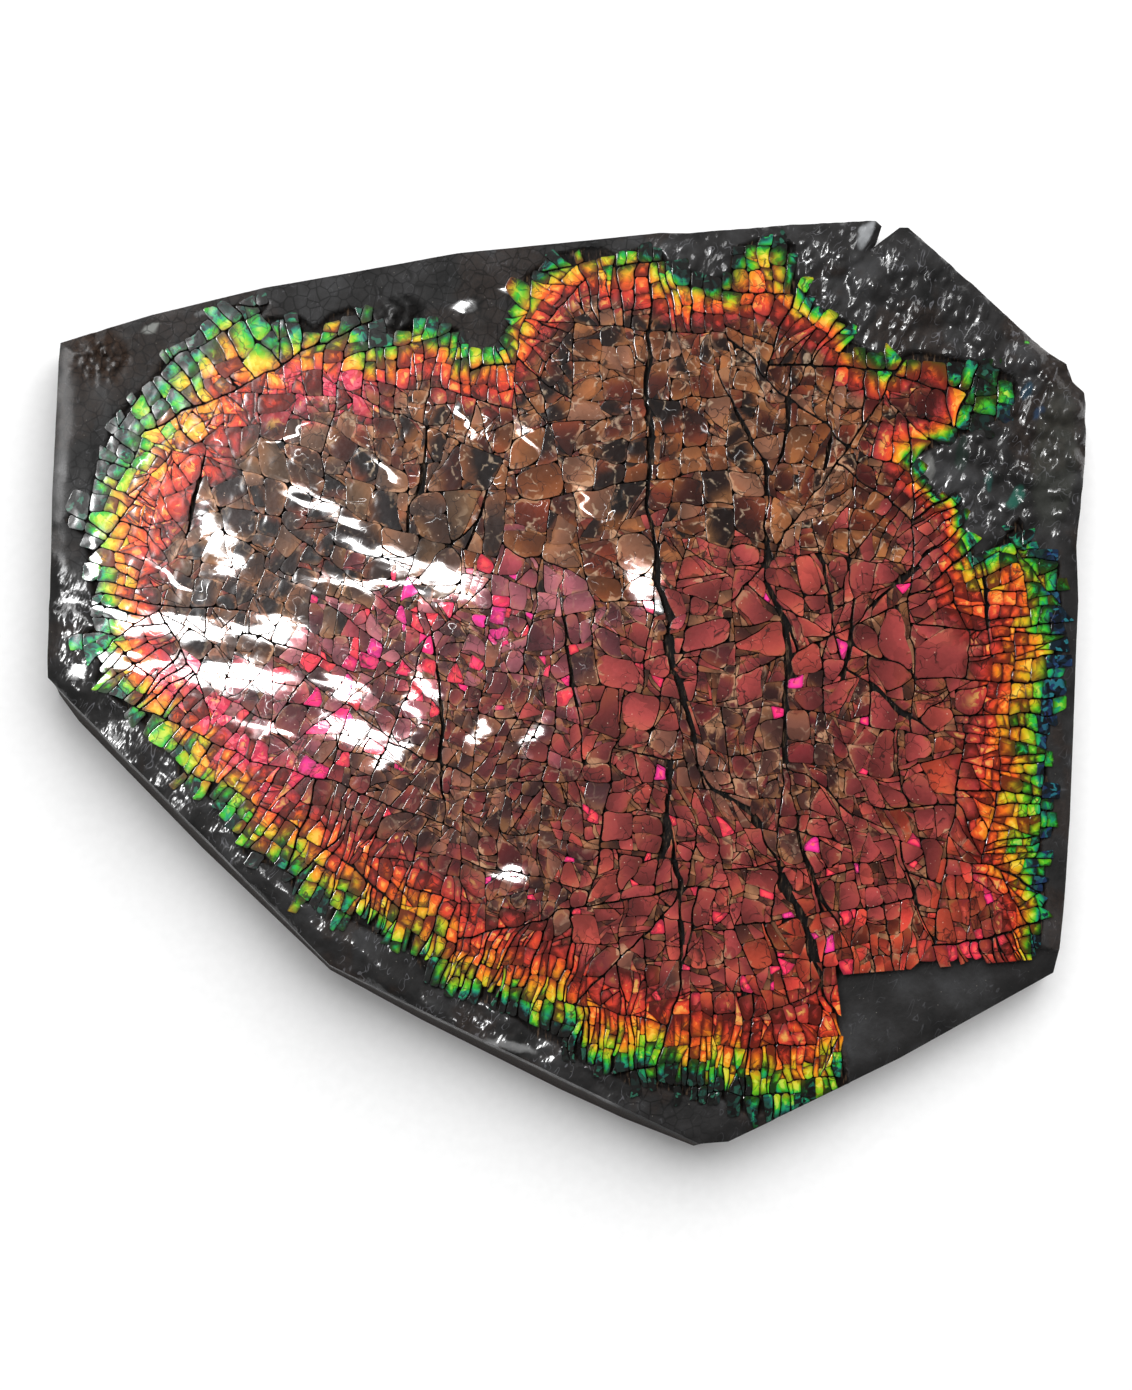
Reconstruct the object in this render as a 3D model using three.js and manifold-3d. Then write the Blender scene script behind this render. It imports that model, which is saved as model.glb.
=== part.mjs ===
// Ammolite specimen: a hand-sized slab of dark shale, sawn to a freeform outline, with a sheet of cracked
// ammonite shell lying in its upper face. It lies face up on its sawn underside.
// Millimetres. Seen from above, +X is to the right and +Y towards the long top edge, and +Z is up.
import * as THREE from "three";
import { mergeVertices } from "three/addons/utils/BufferGeometryUtils.js";
import Module from "manifold-3d";

// Driving dimensions
const FACE_HEIGHT = 7.6; // from the sawn underside to the face where it meets the crown's foot
const CROWN = { rise: 1.1, halfWidth: 64, halfDepth: 60 }; // the face is slightly domed
const EDGE_ROUND = { width: 2.2, drop: 0.7 }; // the worn rim of the face
const SHELL_THICKNESS = 1;
const SEAT_GAP = 0.3; // between the shell and its seat in the rock, below and around it
const ROCK_STEP = 0.4; // the rock's face lies this much below the shell's
const CHIP_DEPTH = 1; // where the shell has broken away, down to the bedding plane
const FISSURE_DEPTH = 0.6;
const FACE_CELL = 2.6; // spacing of the face's facets
const SEAT_CELL = 5.2; // spacing of the seat's facets
const MARGIN = 4; // how far the cutting solids run past the slab
const SHARPEST_MITRE = 0.35; // keeps a grown outline's pointed corners short
const SAW_LEAN = 6.5; // degrees that the two lower left sides lean, so that the foot stands out

// Long low waves of the shell: direction of travel in degrees, wavelength, height and phase
const WAVES = [
  { heading: 62, length: 31, height: 0.16, phase: 0.4 },
  { heading: 105, length: 19, height: 0.13, phase: 1.9 },
  { heading: 8, length: 24, height: 0.1, phase: 3.1 },
];

// The foot of the slab, clockwise from its upper left corner
const SLAB_OUTLINE = [
  [-56.1, 37.8], [-46.1, 40.9], [-33.6, 43.9], [-12.1, 47.7], [10, 50], [13.5, 50], [25.6, 51],
  [32.9, 51.3], [34.1, 51.3], [34.8, 50.7], [34.2, 48.8], [33.7, 48.2], [36.8, 50.6], [37.8, 50.6],
  [45.2, 44], [52.4, 37.4], [55.2, 35.4], [55.9, 33.5], [57.1, 32.2], [57.3, 31], [57.3, 25.3],
  [56.2, 15.3], [56.4, 9.2], [55.4, -15], [54.6, -25.2], [54.1, -29.8], [53.6, -31.8], [36.6, -41.2],
  [17.7, -50.3], [14.1, -51.3], [6.2, -48.2], [-0.8, -45], [-16.2, -37.3], [-26.5, -31.7],
  [-40.9, -18], [-54.7, -3.9], [-56.9, -0.9], [-57.3, 0.7], [-57.3, 3.1], [-56.9, 21.3], [-56.3, 35.7],
];

// The feet of the two leaning saw cuts, each from its right end to its left end
const LEANING_CUTS = [
  { from: [14.1, -51.3], to: [-26.5, -31.7] },
  { from: [-26.5, -31.7], to: [-56.9, -0.9] },
];

// The ragged rim of the shell sheet, clockwise from its left tongue. At the lower right it runs past the
// slab's edge, where one saw cut went through both.
const SHELL_OUTLINE = [
  [-55.4, 18.1], [-52.9, 20.2], [-49.9, 29.6], [-45.7, 33.9], [-44.9, 35.5], [-37.6, 41.3], [-34.2, 42.3],
  [-32.7, 41.8], [-34.3, 39.8], [-29.4, 40.7], [-28, 39.5], [-24.1, 41.6], [-21.5, 41], [-20.5, 38.2],
  [-16, 39], [-12.1, 39.2], [-10.7, 36.6], [-7.9, 36.8], [-4.8, 45.1], [-0.9, 47.5], [4.4, 48.1],
  [5.6, 47.3], [8.2, 48.2], [10.3, 47.8], [11.2, 46.6], [15.9, 44.6], [17.9, 45.3], [18.3, 48.2],
  [20.7, 49.2], [23.7, 49.4], [25.2, 48.5], [25.2, 44.9], [26.7, 42.1], [31, 40], [31.5, 38.1],
  [35.2, 35.7], [38.3, 36.9], [49.5, 34.2], [49.8, 32.4], [48.8, 29.7], [37.9, 24.8], [41, 20.5],
  [43.1, 21.2], [43.6, 17.6], [45.2, 13.9], [49.8, 18.5], [51.2, 15.2], [54.4, 13.3], [54.7, 2.6],
  [53.7, 1.2], [54.3, -2.2], [52.6, -6.7], [53.6, -16.1], [52.2, -17.4], [52.7, -24.1], [51.9, -29],
  [47.6, -30.7], [44, -29.8], [30.7, -31.8], [29.6, -34.8], [31.3, -45], [23.5, -48.6], [21.6, -47.2],
  [20.2, -47.6], [16.7, -45.6], [14.4, -46.2], [9, -44.1], [7, -44.2], [2.7, -41.8], [0.3, -41.3],
  [-3.3, -38.9], [-5.2, -37.1], [-9.4, -34.9], [-14.4, -33.4], [-17.2, -29.5], [-23.5, -26.3],
  [-26.3, -25.9], [-25.5, -24.2], [-29.5, -24.2], [-31.5, -19.6], [-35.4, -18.9], [-38, -13.6],
  [-42.7, -10.5], [-43, -7.9], [-52.1, 0.4], [-51.5, 2.4], [-54.6, 4.9], [-51.7, 6.4], [-53.2, 16.1],
];

// The bare chip at the lower right, where the shell and the rock's top layer broke away
const CHIP_OUTLINE = [
  [29.3, -31.6], [30.7, -31.2], [44, -29.4], [47.6, -30.3], [52.2, -28.9], [58, -30.4], [58, -44],
  [31.6, -49], [30.6, -40.4], [29.2, -34.8],
];

// The main open cracks of the shell: a route from end to end and the width at its middle
const FISSURES = [
  { width: 1.3, route: [[9.4, 42.8], [8.2, 30.3], [8.7, 18], [10.9, 8.3], [15.4, -10.5]] },
  { width: 1.3, route: [[15, -9.5], [19.3, -12.7], [21.2, -15.5], [29.1, -36.7]] },
  { width: 0.9, route: [[12.6, -3], [11.7, -9.4], [10.9, -15.2], [12.4, -23], [12.1, -32.6]] },
  { width: 0.9, route: [[16.4, 34.2], [21.9, 24], [21.9, 11.2], [24.3, 2.7], [24.3, -12.1]] },
  { width: 0.8, route: [[31.2, 21.8], [31.1, 4.5], [30.3, 1.5], [38.6, -4], [42.8, -0.7]] },
  { width: 0.8, route: [[40.7, 15.4], [35.8, 10], [32.6, 7]] },
  { width: 0.8, route: [[-15.1, 27.7], [-15.6, 23], [-17.1, 18.3]] },
  { width: 0.8, route: [[27.6, 16.6], [28.6, 6.9], [30, 3]] },
  { width: 0.8, route: [[45.5, 12], [46.4, 3.9]] },
];

// Lumps and beads of the rock that stand above its face
const LUMPS = [
  { x: 29.5, y: 47.5, radius: 2.8, height: 0.5 },
  { x: 33.2, y: 44.3, radius: 2.6, height: 0.7 },
  { x: 37, y: 46.6, radius: 2.8, height: 0.7 },
  { x: 38.6, y: 41.4, radius: 2.8, height: 0.7 },
  { x: 43.2, y: 41.8, radius: 2.6, height: 0.5 },
  { x: 46.2, y: 38, radius: 2.5, height: 0.6 },
  { x: 50.8, y: 36, radius: 2.4, height: 0.5 },
  { x: 54.3, y: 30.5, radius: 2.5, height: 0.8 },
  { x: 54.9, y: 25.6, radius: 2.2, height: 0.7 },
  { x: 51.6, y: 22.6, radius: 2.6, height: 0.6 },
  { x: 46.2, y: 26.2, radius: 2.8, height: 0.4 },
  { x: -18.4, y: 41, radius: 2.7, height: 0.7 },
  { x: -8.3, y: 40.6, radius: 2.6, height: 0.5 },
  { x: -51.8, y: 36.6, radius: 3.4, height: 0.4 },
  { x: -54.2, y: -0.8, radius: 2.6, height: 0.6 },
  { x: -42, y: -14.4, radius: 2.6, height: 0.5 },
];

// The raised ledge of rock that follows the lower left rim of the shell
const LEDGE = { from: [-33.4, -21.6], to: [-15.2, -35.2], halfWidth: 2.6, height: 0.7 };

const ROCK_COLOUR = "#343336";
const SHELL_COLOUR = "#8c3237";

const wasm = await Module();
wasm.setup();

// A closed geometry as a solid that can be joined and cut.
function solid(geometry) {
  geometry.deleteAttribute("normal");
  geometry.deleteAttribute("uv");
  const closed = mergeVertices(geometry, 1e-4);
  const vertProperties = closed.attributes.position.array;
  const triVerts = new Uint32Array(closed.index.array);
  return new wasm.Manifold(new wasm.Mesh({ numProp: 3, vertProperties, triVerts }));
}

// A named mesh from a solid.
function meshOf(name, made, colour, roughness) {
  const { vertProperties, triVerts } = made.getMesh();
  const geometry = new THREE.BufferGeometry();
  geometry.setAttribute("position", new THREE.BufferAttribute(vertProperties, 3));
  geometry.setIndex(new THREE.BufferAttribute(triVerts, 1));
  geometry.computeVertexNormals();
  const material = new THREE.MeshStandardMaterial({ color: colour, roughness, metalness: 0 });
  const mesh = new THREE.Mesh(geometry, material);
  mesh.name = name;
  return mesh;
}

const vector = ([x, y]) => new THREE.Vector2(x, y);

// The distance from a point to the straight stretch between two others.
function distanceToStretch(point, from, to) {
  const along = to.clone().sub(from);
  const share = THREE.MathUtils.clamp(point.clone().sub(from).dot(along) / along.lengthSq(), 0, 1);
  return point.distanceTo(from.clone().addScaledVector(along, share));
}

const slabCorners = SLAB_OUTLINE.map(vector);
const ledgeEnds = [LEDGE.from, LEDGE.to].map(vector);

function distanceToRim(point) {
  const stretches = slabCorners.map((corner, i) => [corner, slabCorners[(i + 1) % slabCorners.length]]);
  return Math.min(...stretches.map(([from, to]) => distanceToStretch(point, from, to)));
}

// A smooth mound: 1 at its middle and 0 from its edge outwards.
const mound = (distance, radius) => Math.max(0, 1 - (distance / radius) ** 2) ** 2;

// The height of the specimen's face above its underside.
function faceHeight(x, y) {
  const point = new THREE.Vector2(x, y);
  let height = FACE_HEIGHT + CROWN.rise * (1 - (x / CROWN.halfWidth) ** 2 - (y / CROWN.halfDepth) ** 2);
  for (const { heading, length, height: rise, phase } of WAVES) {
    const angle = THREE.MathUtils.degToRad(heading);
    const travelled = x * Math.cos(angle) + y * Math.sin(angle);
    height += rise * Math.sin((2 * Math.PI * travelled) / length + phase);
  }
  for (const lump of LUMPS) {
    height += lump.height * mound(Math.hypot(x - lump.x, y - lump.y), lump.radius);
  }
  height += LEDGE.height * mound(distanceToStretch(point, ...ledgeEnds), LEDGE.halfWidth);
  const inward = Math.min(distanceToRim(point) / EDGE_ROUND.width, 1);
  return height - EDGE_ROUND.drop * (1 - inward) ** 2;
}

// Everything below the face, once it is raised or lowered by an offset.
function belowFace(offset, cell) {
  const size = new THREE.Box2().setFromPoints(slabCorners).getSize(new THREE.Vector2());
  const width = size.x + 2 * MARGIN;
  const depth = size.y + 2 * MARGIN;
  const [columns, rows] = [width, depth].map((length) => Math.round(length / cell));
  const block = new THREE.BoxGeometry(width, depth, 2 * MARGIN, columns, rows, 1);
  const place = block.attributes.position;
  for (let i = 0; i < place.count; i++) {
    if (place.getZ(i) > 0) place.setZ(i, faceHeight(place.getX(i), place.getY(i)) + offset);
  }
  return solid(block);
}

// An upright prism on an outline, from the underside to well above the face.
function prism(corners) {
  const height = FACE_HEIGHT + CROWN.rise + MARGIN;
  return solid(new THREE.ExtrudeGeometry(new THREE.Shape(corners), { depth: height, bevelEnabled: false }));
}

// A clockwise outline with every side moved outwards by a gap.
function grown(corners, gap) {
  return corners.map((corner, i) => {
    const before = corners[(i + corners.length - 1) % corners.length];
    const after = corners[(i + 1) % corners.length];
    const [incoming, outgoing] = [corner.clone().sub(before), after.clone().sub(corner)].map(
      (side) => new THREE.Vector2(-side.y, side.x).normalize(),
    );
    const mitre = gap / Math.max(1 + incoming.dot(outgoing), SHARPEST_MITRE);
    return corner.clone().addScaledVector(incoming.add(outgoing), mitre);
  });
}

// The plan of a crack: widest at its middle and closing to a point at both ends.
function crackPlan({ width, route }) {
  const spine = new THREE.CatmullRomCurve3(route.map(([x, y]) => new THREE.Vector3(x, y, 0)));
  const steps = route.length * 2;
  const side = (turn) => (_, i) => {
    const share = i / steps;
    const place = spine.getPoint(share);
    const tangent = spine.getTangent(share);
    const reach = (turn * width * Math.sin(Math.PI * share)) / 2;
    return new THREE.Vector2(place.x - tangent.y * reach, place.y + tangent.x * reach);
  };
  const left = Array.from({ length: steps }, side(1));
  const right = Array.from({ length: steps + 1 }, side(-1)).slice(1).reverse();
  return [...left, ...right];
}

// What a leaning saw cut takes away outside the slab.
function sawWaste({ from, to }) {
  const start = vector(from);
  const along = vector(to).sub(start);
  const reach = along.length() + 8 * MARGIN;
  const waste = new THREE.BoxGeometry(reach, 4 * MARGIN, 12 * MARGIN);
  waste.translate(0, 2 * MARGIN, 0);
  waste.rotateX(THREE.MathUtils.degToRad(SAW_LEAN));
  waste.rotateZ(along.angle());
  const middle = start.addScaledVector(along, 0.5);
  waste.translate(middle.x, middle.y, 0);
  return solid(waste);
}

const sawn = LEANING_CUTS.map(sawWaste).reduce((body, waste) => body.subtract(waste), prism(slabCorners));

function matrixSlab() {
  const shell = grown(SHELL_OUTLINE.map(vector), SEAT_GAP);
  const seat = prism(shell).subtract(belowFace(-SHELL_THICKNESS - SEAT_GAP, SEAT_CELL));
  const chip = prism(CHIP_OUTLINE.map(vector)).subtract(belowFace(-CHIP_DEPTH, FACE_CELL));
  return sawn.intersect(belowFace(-ROCK_STEP, FACE_CELL)).subtract(seat).subtract(chip);
}

function ammoliteSheet() {
  const plate = prism(SHELL_OUTLINE.map(vector))
    .intersect(sawn)
    .intersect(belowFace(0, FACE_CELL))
    .subtract(belowFace(-SHELL_THICKNESS, SEAT_CELL));
  const crackFloor = belowFace(-FISSURE_DEPTH, SEAT_CELL);
  const cracks = FISSURES.map((fissure) => prism(crackPlan(fissure)).subtract(crackFloor));
  return cracks.reduce((left, crack) => left.subtract(crack), plate);
}

const specimen = new THREE.Group();
specimen.add(meshOf("matrix_slab", matrixSlab(), ROCK_COLOUR, 0.4));
specimen.add(meshOf("ammolite_sheet", ammoliteSheet(), SHELL_COLOUR, 0.25));

export default specimen;
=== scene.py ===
import math
from collections import namedtuple

import bpy
import numpy as np
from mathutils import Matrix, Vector
from mathutils.geometry import delaunay_2d_cdt


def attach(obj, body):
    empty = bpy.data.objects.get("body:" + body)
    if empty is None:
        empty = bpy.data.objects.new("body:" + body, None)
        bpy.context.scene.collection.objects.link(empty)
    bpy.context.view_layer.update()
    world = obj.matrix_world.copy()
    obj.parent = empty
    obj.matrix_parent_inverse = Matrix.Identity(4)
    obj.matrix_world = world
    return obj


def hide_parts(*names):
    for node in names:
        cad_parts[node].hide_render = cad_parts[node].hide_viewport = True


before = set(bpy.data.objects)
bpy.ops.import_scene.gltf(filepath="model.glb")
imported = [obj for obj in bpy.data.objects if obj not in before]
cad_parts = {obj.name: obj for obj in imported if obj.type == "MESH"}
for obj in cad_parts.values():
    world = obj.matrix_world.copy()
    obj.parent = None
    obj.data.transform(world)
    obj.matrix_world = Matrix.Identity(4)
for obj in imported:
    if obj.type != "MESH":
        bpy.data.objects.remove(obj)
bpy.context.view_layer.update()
MM = 0.001

# --- Camera -----------------------------------------------------------------------------------------------
# A tripod camera looking almost straight down on the face of the specimen, from a little towards its lower
# edge, and so far away that its lens takes in the field's height at the face.
CAMERA_ELEVATION = 88
FIELD_HEIGHT_MM = 152.9
AIM_MM = (-0.14, -1.24, 8.0)
LENS_MM = 100
SENSOR_MM = 36

elevation = math.radians(CAMERA_ELEVATION)
towards_camera = Vector((0, -math.cos(elevation), math.sin(elevation)))
bpy.ops.object.camera_add()
camera = bpy.context.object
camera.name = "camera"
camera.data.lens = LENS_MM
camera.data.sensor_width = SENSOR_MM
camera.location = (Vector(AIM_MM) + towards_camera * FIELD_HEIGHT_MM * LENS_MM / SENSOR_MM) * MM
camera.rotation_mode = "QUATERNION"
camera.rotation_quaternion = (-towards_camera).to_track_quat("-Z", "Y")
bpy.context.scene.camera = camera
bpy.context.scene.view_settings.view_transform = "Standard"

# --- Shale slab -------------------------------------------------------------------------------------------
# A slab of dark, hard shale split along its bedding and sawn to a freeform outline. Its face is lumpy rock
# under a glossy clear coat, the two lower left sides are saw cuts that lean outwards, and the back is sawn.
FACE_MM = 7.6  # from the back up to the foot of the face's crown
CROWN_RISE_MM = 1.1
CROWN_HALF_MM = (64, 60)
ROCK_STEP_MM = 0.25  # how much lower the rock's face is than the shell's
CHIP_DEPTH_MM = 1.0
CRACK_FLOOR_MM = 0.75  # how far down the rock shows in the shell's cracks
EDGE_ROUND_MM = (2.2, 0.7)  # the width and the drop of the worn edge
SAW_LEAN = 6.5
GRAIN_HEADING = 63  # of the ridges at the upper right
FOLD_HEADING = -38  # of the folds at the lower left
RUSTY_CORNER_MM = (-51.5, 36.5)
BROKEN_NUB_MM = (-18.4, 41)
WAVES = [  # heading in degrees, length, height, phase
    (62, 31, 0.16, 0.4),
    (105, 19, 0.13, 1.9),
    (8, 24, 0.10, 3.1),
]
LUMPS = [  # place, radius and height in mm
    (29.5, 47.5, 2.8, 0.5), (33.2, 44.3, 2.6, 0.7), (37.0, 46.6, 2.8, 0.7), (38.6, 41.4, 2.8, 0.7),
    (43.2, 41.8, 2.6, 0.5), (46.2, 38.0, 2.5, 0.6), (50.8, 36.0, 2.4, 0.5), (54.3, 30.5, 2.5, 0.8),
    (54.9, 25.6, 2.2, 0.7), (51.6, 22.6, 2.6, 0.6), (46.2, 26.2, 2.8, 0.4), (-18.4, 41.0, 2.7, 0.7),
    (-8.3, 40.6, 2.6, 0.5), (-51.8, 36.6, 3.4, 0.4), (-54.2, -0.8, 2.6, 0.6), (-42.0, -14.4, 2.6, 0.5),
]
# Its two ends, half width and height
LEDGE = ((-33.4, -21.6), (-15.2, -35.2), 2.6, 0.7)
SLAB_OUTLINE = [
    (-56.1, 37.8), (-46.1, 40.9), (-33.6, 43.9), (-12.1, 47.7), (10, 50), (13.5, 50), (25.6, 51),
    (32.9, 51.3), (34.1, 51.3), (34.8, 50.7), (34.2, 48.8), (33.7, 48.2), (36.8, 50.6), (37.8, 50.6),
    (45.2, 44), (52.4, 37.4), (55.2, 35.4), (55.9, 33.5), (57.1, 32.2), (57.3, 31), (57.3, 25.3),
    (56.2, 15.3), (56.4, 9.2), (55.4, -15), (54.6, -25.2), (54.1, -29.8), (53.6, -31.8), (36.6, -41.2),
    (17.7, -50.3), (14.1, -51.3), (6.2, -48.2), (-0.8, -45), (-16.2, -37.3), (-26.5, -31.7),
    (-40.9, -18), (-54.7, -3.9), (-56.9, -0.9), (-57.3, 0.7), (-57.3, 3.1), (-56.9, 21.3), (-56.3, 35.7),
]
STAINS = [  # place, heading, half length and half width in mm, colour and strength
    (33.0, 49.8, 62, 1.7, 0.75, "#8e9092", 0.9), (39.7, 23.6, 85, 2.0, 0.9, "#6e6e6c", 0.75),
    (-6.4, -39.8, -12, 2.9, 0.6, "#7c7c7c", 0.7), (-1.5, -43.6, -25, 1.6, 0.4, "#6a6a6a", 0.6),
    (-46.0, 39.4, 20, 1.2, 0.5, "#8a8c88", 0.7), (-40.5, 41.0, 15, 1.0, 0.35, "#77797a", 0.5),
    (-18.4, 41.0, 0, 3.0, 2.2, "#0c0b0b", 0.85), (-10.5, 41.8, 30, 1.4, 1.0, "#0c0b0b", 0.7),
    (49.5, 20.5, 60, 1.6, 0.8, "#1c5a4c", 0.7), (46.6, 22.4, 80, 1.2, 0.5, "#1c4a44", 0.6),
    (51.0, 37.9, 20, 0.28, 0.18, "#3aa81c", 1.0), (50.8, 32.5, 70, 1.2, 0.5, "#1e3f52", 0.7),
    (52.0, 30.0, 60, 0.9, 0.5, "#24405e", 0.6), (53.8, 25.0, 85, 8.0, 2.6, "#40423c", 0.4),
    (43.5, 25.5, 85, 2.2, 0.7, "#1c2e26", 0.6),
]
LEANING_CUTS = [((14.1, -51.3), (-26.5, -31.7)), ((-26.5, -31.7), (-56.9, -0.9))]
SHELL_OUTLINE = [
    (-55.4, 18.1), (-52.9, 20.2), (-49.9, 29.6), (-45.7, 33.9), (-44.9, 35.5), (-37.6, 41.6), (-34.2, 42.8),
    (-32.7, 42.2), (-34.5, 39.7), (-33.2, 40.6), (-29.4, 40.7), (-28, 39.5), (-26.2, 41), (-24.1, 41.7),
    (-21.5, 41), (-20.5, 38.4), (-16, 40), (-12.1, 39.2), (-10.7, 36.6), (-7.9, 36.8), (-5.1, 43.1),
    (-4.8, 45.1), (-0.9, 47.8), (1.7, 48.4), (4.4, 48.3), (5.6, 47.5), (8.2, 48.4), (10.3, 48), (11.2, 46.6),
    (15.9, 44.6), (17.9, 45.3), (18.3, 48.2), (20.7, 49.3), (23.7, 49.5), (25.2, 48.5), (25.2, 44.9),
    (26.6, 44.2), (26.7, 42.1), (31, 40), (31.5, 38.1), (35.2, 35.7), (38.3, 36.9), (44.9, 35.7),
    (49.5, 34.2), (49.8, 32.4), (48.8, 29.7), (37.9, 24.8), (41, 20.5), (43.1, 21.2), (43.6, 17.6),
    (45.2, 13.9), (47.9, 16), (49.8, 18.5), (51.2, 15.2), (54.4, 13.3), (54.7, 2.6), (53.7, 1.2),
    (54.3, -2.2), (53.3, -4.1), (52.6, -6.7), (53.6, -16.1), (52.2, -17.4), (52.7, -24.1), (51.9, -29),
    (50.4, -30.1), (47.6, -30.7), (44, -29.8), (30.7, -31.8), (29.9, -32.3), (29.6, -34.8), (30.1, -40.4),
    (31.3, -45), (23.5, -48.6), (21.6, -47.2), (20.2, -47.7), (16.7, -45.6), (14.4, -46.2), (13.6, -45.5),
    (9, -44.1), (7, -44.2), (2.7, -41.8), (0.3, -41.3), (-0.9, -39.6), (-3.3, -38.9), (-5.2, -37.1),
    (-9.4, -34.9), (-14.4, -33.4), (-17.2, -29.5), (-23.5, -26.3), (-26.3, -25.9), (-25.5, -24.2),
    (-29.5, -24.2), (-31.5, -19.4), (-32.6, -20.3), (-35.4, -18.9), (-38, -13.6), (-42.7, -10.5),
    (-43, -7.9), (-52.1, 0.4), (-51.5, 2.4), (-54.6, 4.9), (-51.7, 6.4), (-52.6, 10.9), (-53.2, 16.1),
]
CHIP_OUTLINE = [
    (29.3, -31.6), (30.7, -31.2), (44, -29.4), (47.6, -30.3), (52.2, -28.9), (58, -30.4), (58, -44),
    (31.6, -49), (30.6, -40.4), (29.2, -34.8),
]


def distance_to_path(x, y, path):
    """The distance from each point to a run of straight stretches."""
    nearest = np.full(np.shape(x), 1e9)
    for (ax, ay), (bx, by) in zip(path[:-1], path[1:]):
        along = (bx - ax, by - ay)
        share = ((x - ax) * along[0] + (y - ay) * along[1]) / (along[0] ** 2 + along[1] ** 2)
        share = np.clip(share, 0, 1)
        nearest = np.minimum(nearest, np.hypot(x - ax - share * along[0], y - ay - share * along[1]))
    return nearest


def inside(x, y, outline):
    """Whether each point lies inside a closed outline."""
    crossings = np.zeros(np.shape(x), int)
    for (ax, ay), (bx, by) in zip(outline, outline[1:] + outline[:1]):
        if ay != by:
            spans = (ay > y) != (by > y)
            crossings += spans & (x < ax + (y - ay) * (bx - ax) / (by - ay))
    return crossings % 2 == 1


def depth_inside(x, y, outline):
    """The distance to a closed outline, negative outside it."""
    distance = distance_to_path(x, y, outline + outline[:1])
    return np.where(inside(x, y, outline), distance, -distance)


def ease(low, high, value):
    """0 up to a low value and 1 from a high one, with a smooth rise between them."""
    share = np.clip((value - low) / (high - low), 0, 1)
    return share * share * (3 - 2 * share)


def rough(x, y, size, seed):
    """Smooth random values from -1 to 1 on a lattice of the given spacing in mm."""
    table = np.random.default_rng(seed).uniform(-1, 1, (97, 97))
    u, v = x / size + 500, y / size + 500
    i, j = np.floor(u).astype(int), np.floor(v).astype(int)
    s, t = u - i, v - j
    s, t = s * s * (3 - 2 * s), t * t * (3 - 2 * t)
    i, j = i % 96, j % 96
    low = table[i, j] * (1 - s) + table[i + 1, j] * s
    high = table[i, j + 1] * (1 - s) + table[i + 1, j + 1] * s
    return low * (1 - t) + high * t


def beads(x, y, size, seed):
    """0 in the middle of each randomly placed bead, rising to about 1 between them."""
    rng = np.random.default_rng(seed)
    table = rng.uniform(0.1, 0.9, (96, 96, 2))
    u, v = x / size + 480, y / size + 480
    i, j = np.floor(u).astype(int), np.floor(v).astype(int)
    nearest = np.full(np.shape(x), 9.0)
    for di in (-1, 0, 1):
        for dj in (-1, 0, 1):
            spot = table[(i + di) % 96, (j + dj) % 96]
            nearest = np.minimum(nearest, np.hypot(i + di + spot[..., 0] - u, j + dj + spot[..., 1] - v))
    return nearest


def mound(distance, radius):
    """A smooth mound: 1 at its middle and 0 from its edge outwards."""
    return np.clip(1 - (distance / radius) ** 2, 0, None) ** 2


def turned(x, y, heading):
    """How far each point lies along a heading in degrees, and across it to the left."""
    c, s = math.cos(math.radians(heading)), math.sin(math.radians(heading))
    return x * c + y * s, y * c - x * s


def face_height(x, y):
    """The height of the face above the underside, in mm."""
    height = FACE_MM + CROWN_RISE_MM * (1 - (x / CROWN_HALF_MM[0]) ** 2 - (y / CROWN_HALF_MM[1]) ** 2)
    for heading, length, rise, phase in WAVES:
        along = turned(x, y, heading)[0]
        height = height + rise * np.sin(2 * math.pi * along / length + phase)
    for lump_x, lump_y, radius, rise in LUMPS:
        height = height + rise * mound(np.hypot(x - lump_x, y - lump_y), radius)
    ledge_from, ledge_to, half_width, rise = LEDGE
    height = height + rise * mound(distance_to_path(x, y, [ledge_from, ledge_to]), half_width)
    inward = np.clip(distance_to_path(x, y, SLAB_OUTLINE + SLAB_OUTLINE[:1]) / EDGE_ROUND_MM[0], 0, 1)
    return height - EDGE_ROUND_MM[1] * (1 - inward) ** 2


def lower_left(x, y):
    """1 along the lower left and left edges, where the rock is folded and wettest, and 0 elsewhere."""
    return ease(36, 42, -x - 1.35 * y) * ease(-56, -50, y - 1.2 * x)


def upper_right(x, y, low, high):
    """1 on the bare rock at the upper right and 0 elsewhere, fading in between two values of y."""
    return ease(-4, 4, (x - 24) * 0.8 + (y - 30) * 0.6) * ease(low, high, y)


def away_from(x, y, spot):
    """Each point's distance from a spot."""
    return np.hypot(x - spot[0], y - spot[1])


def rock_relief(x, y):
    """The rock's own lumps, ridges and beads above or below its smooth face, in mm."""
    along, across = turned(x, y, GRAIN_HEADING)
    ridges = 0.34 * mound(beads(along / 1.7, across, 1.35, 11), 0.62)
    ridges = ridges + 0.2 * rough(along / 1.8, across, 1.1, 12)
    beaded = ease(40, 47, x) * ease(14, 18, y) * (1 - ease(33, 38, y))
    drops = 0.62 * mound(beads(x, y, 2.4, 13), 0.62) + 0.08 * rough(x, y, 0.9, 16)
    low = 0.10 * rough(x, y, 3.6, 14) + 0.05 * rough(x, y, 1.2, 15)
    along, across = turned(x, y, FOLD_HEADING)
    folds = 0.36 * rough(along / 2.6, across, 1.6, 17) + 0.1 * rough(x, y, 0.8, 23)
    gritty = mound(away_from(x, y, RUSTY_CORNER_MM), 4.6) + mound(away_from(x, y, BROKEN_NUB_MM), 3.2)
    gritty = gritty * 0.5 * rough(x, y, 0.6, 24)
    return low + upper_right(x, y, 17, 25) * ridges + beaded * drops + lower_left(x, y) * folds + gritty


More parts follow.
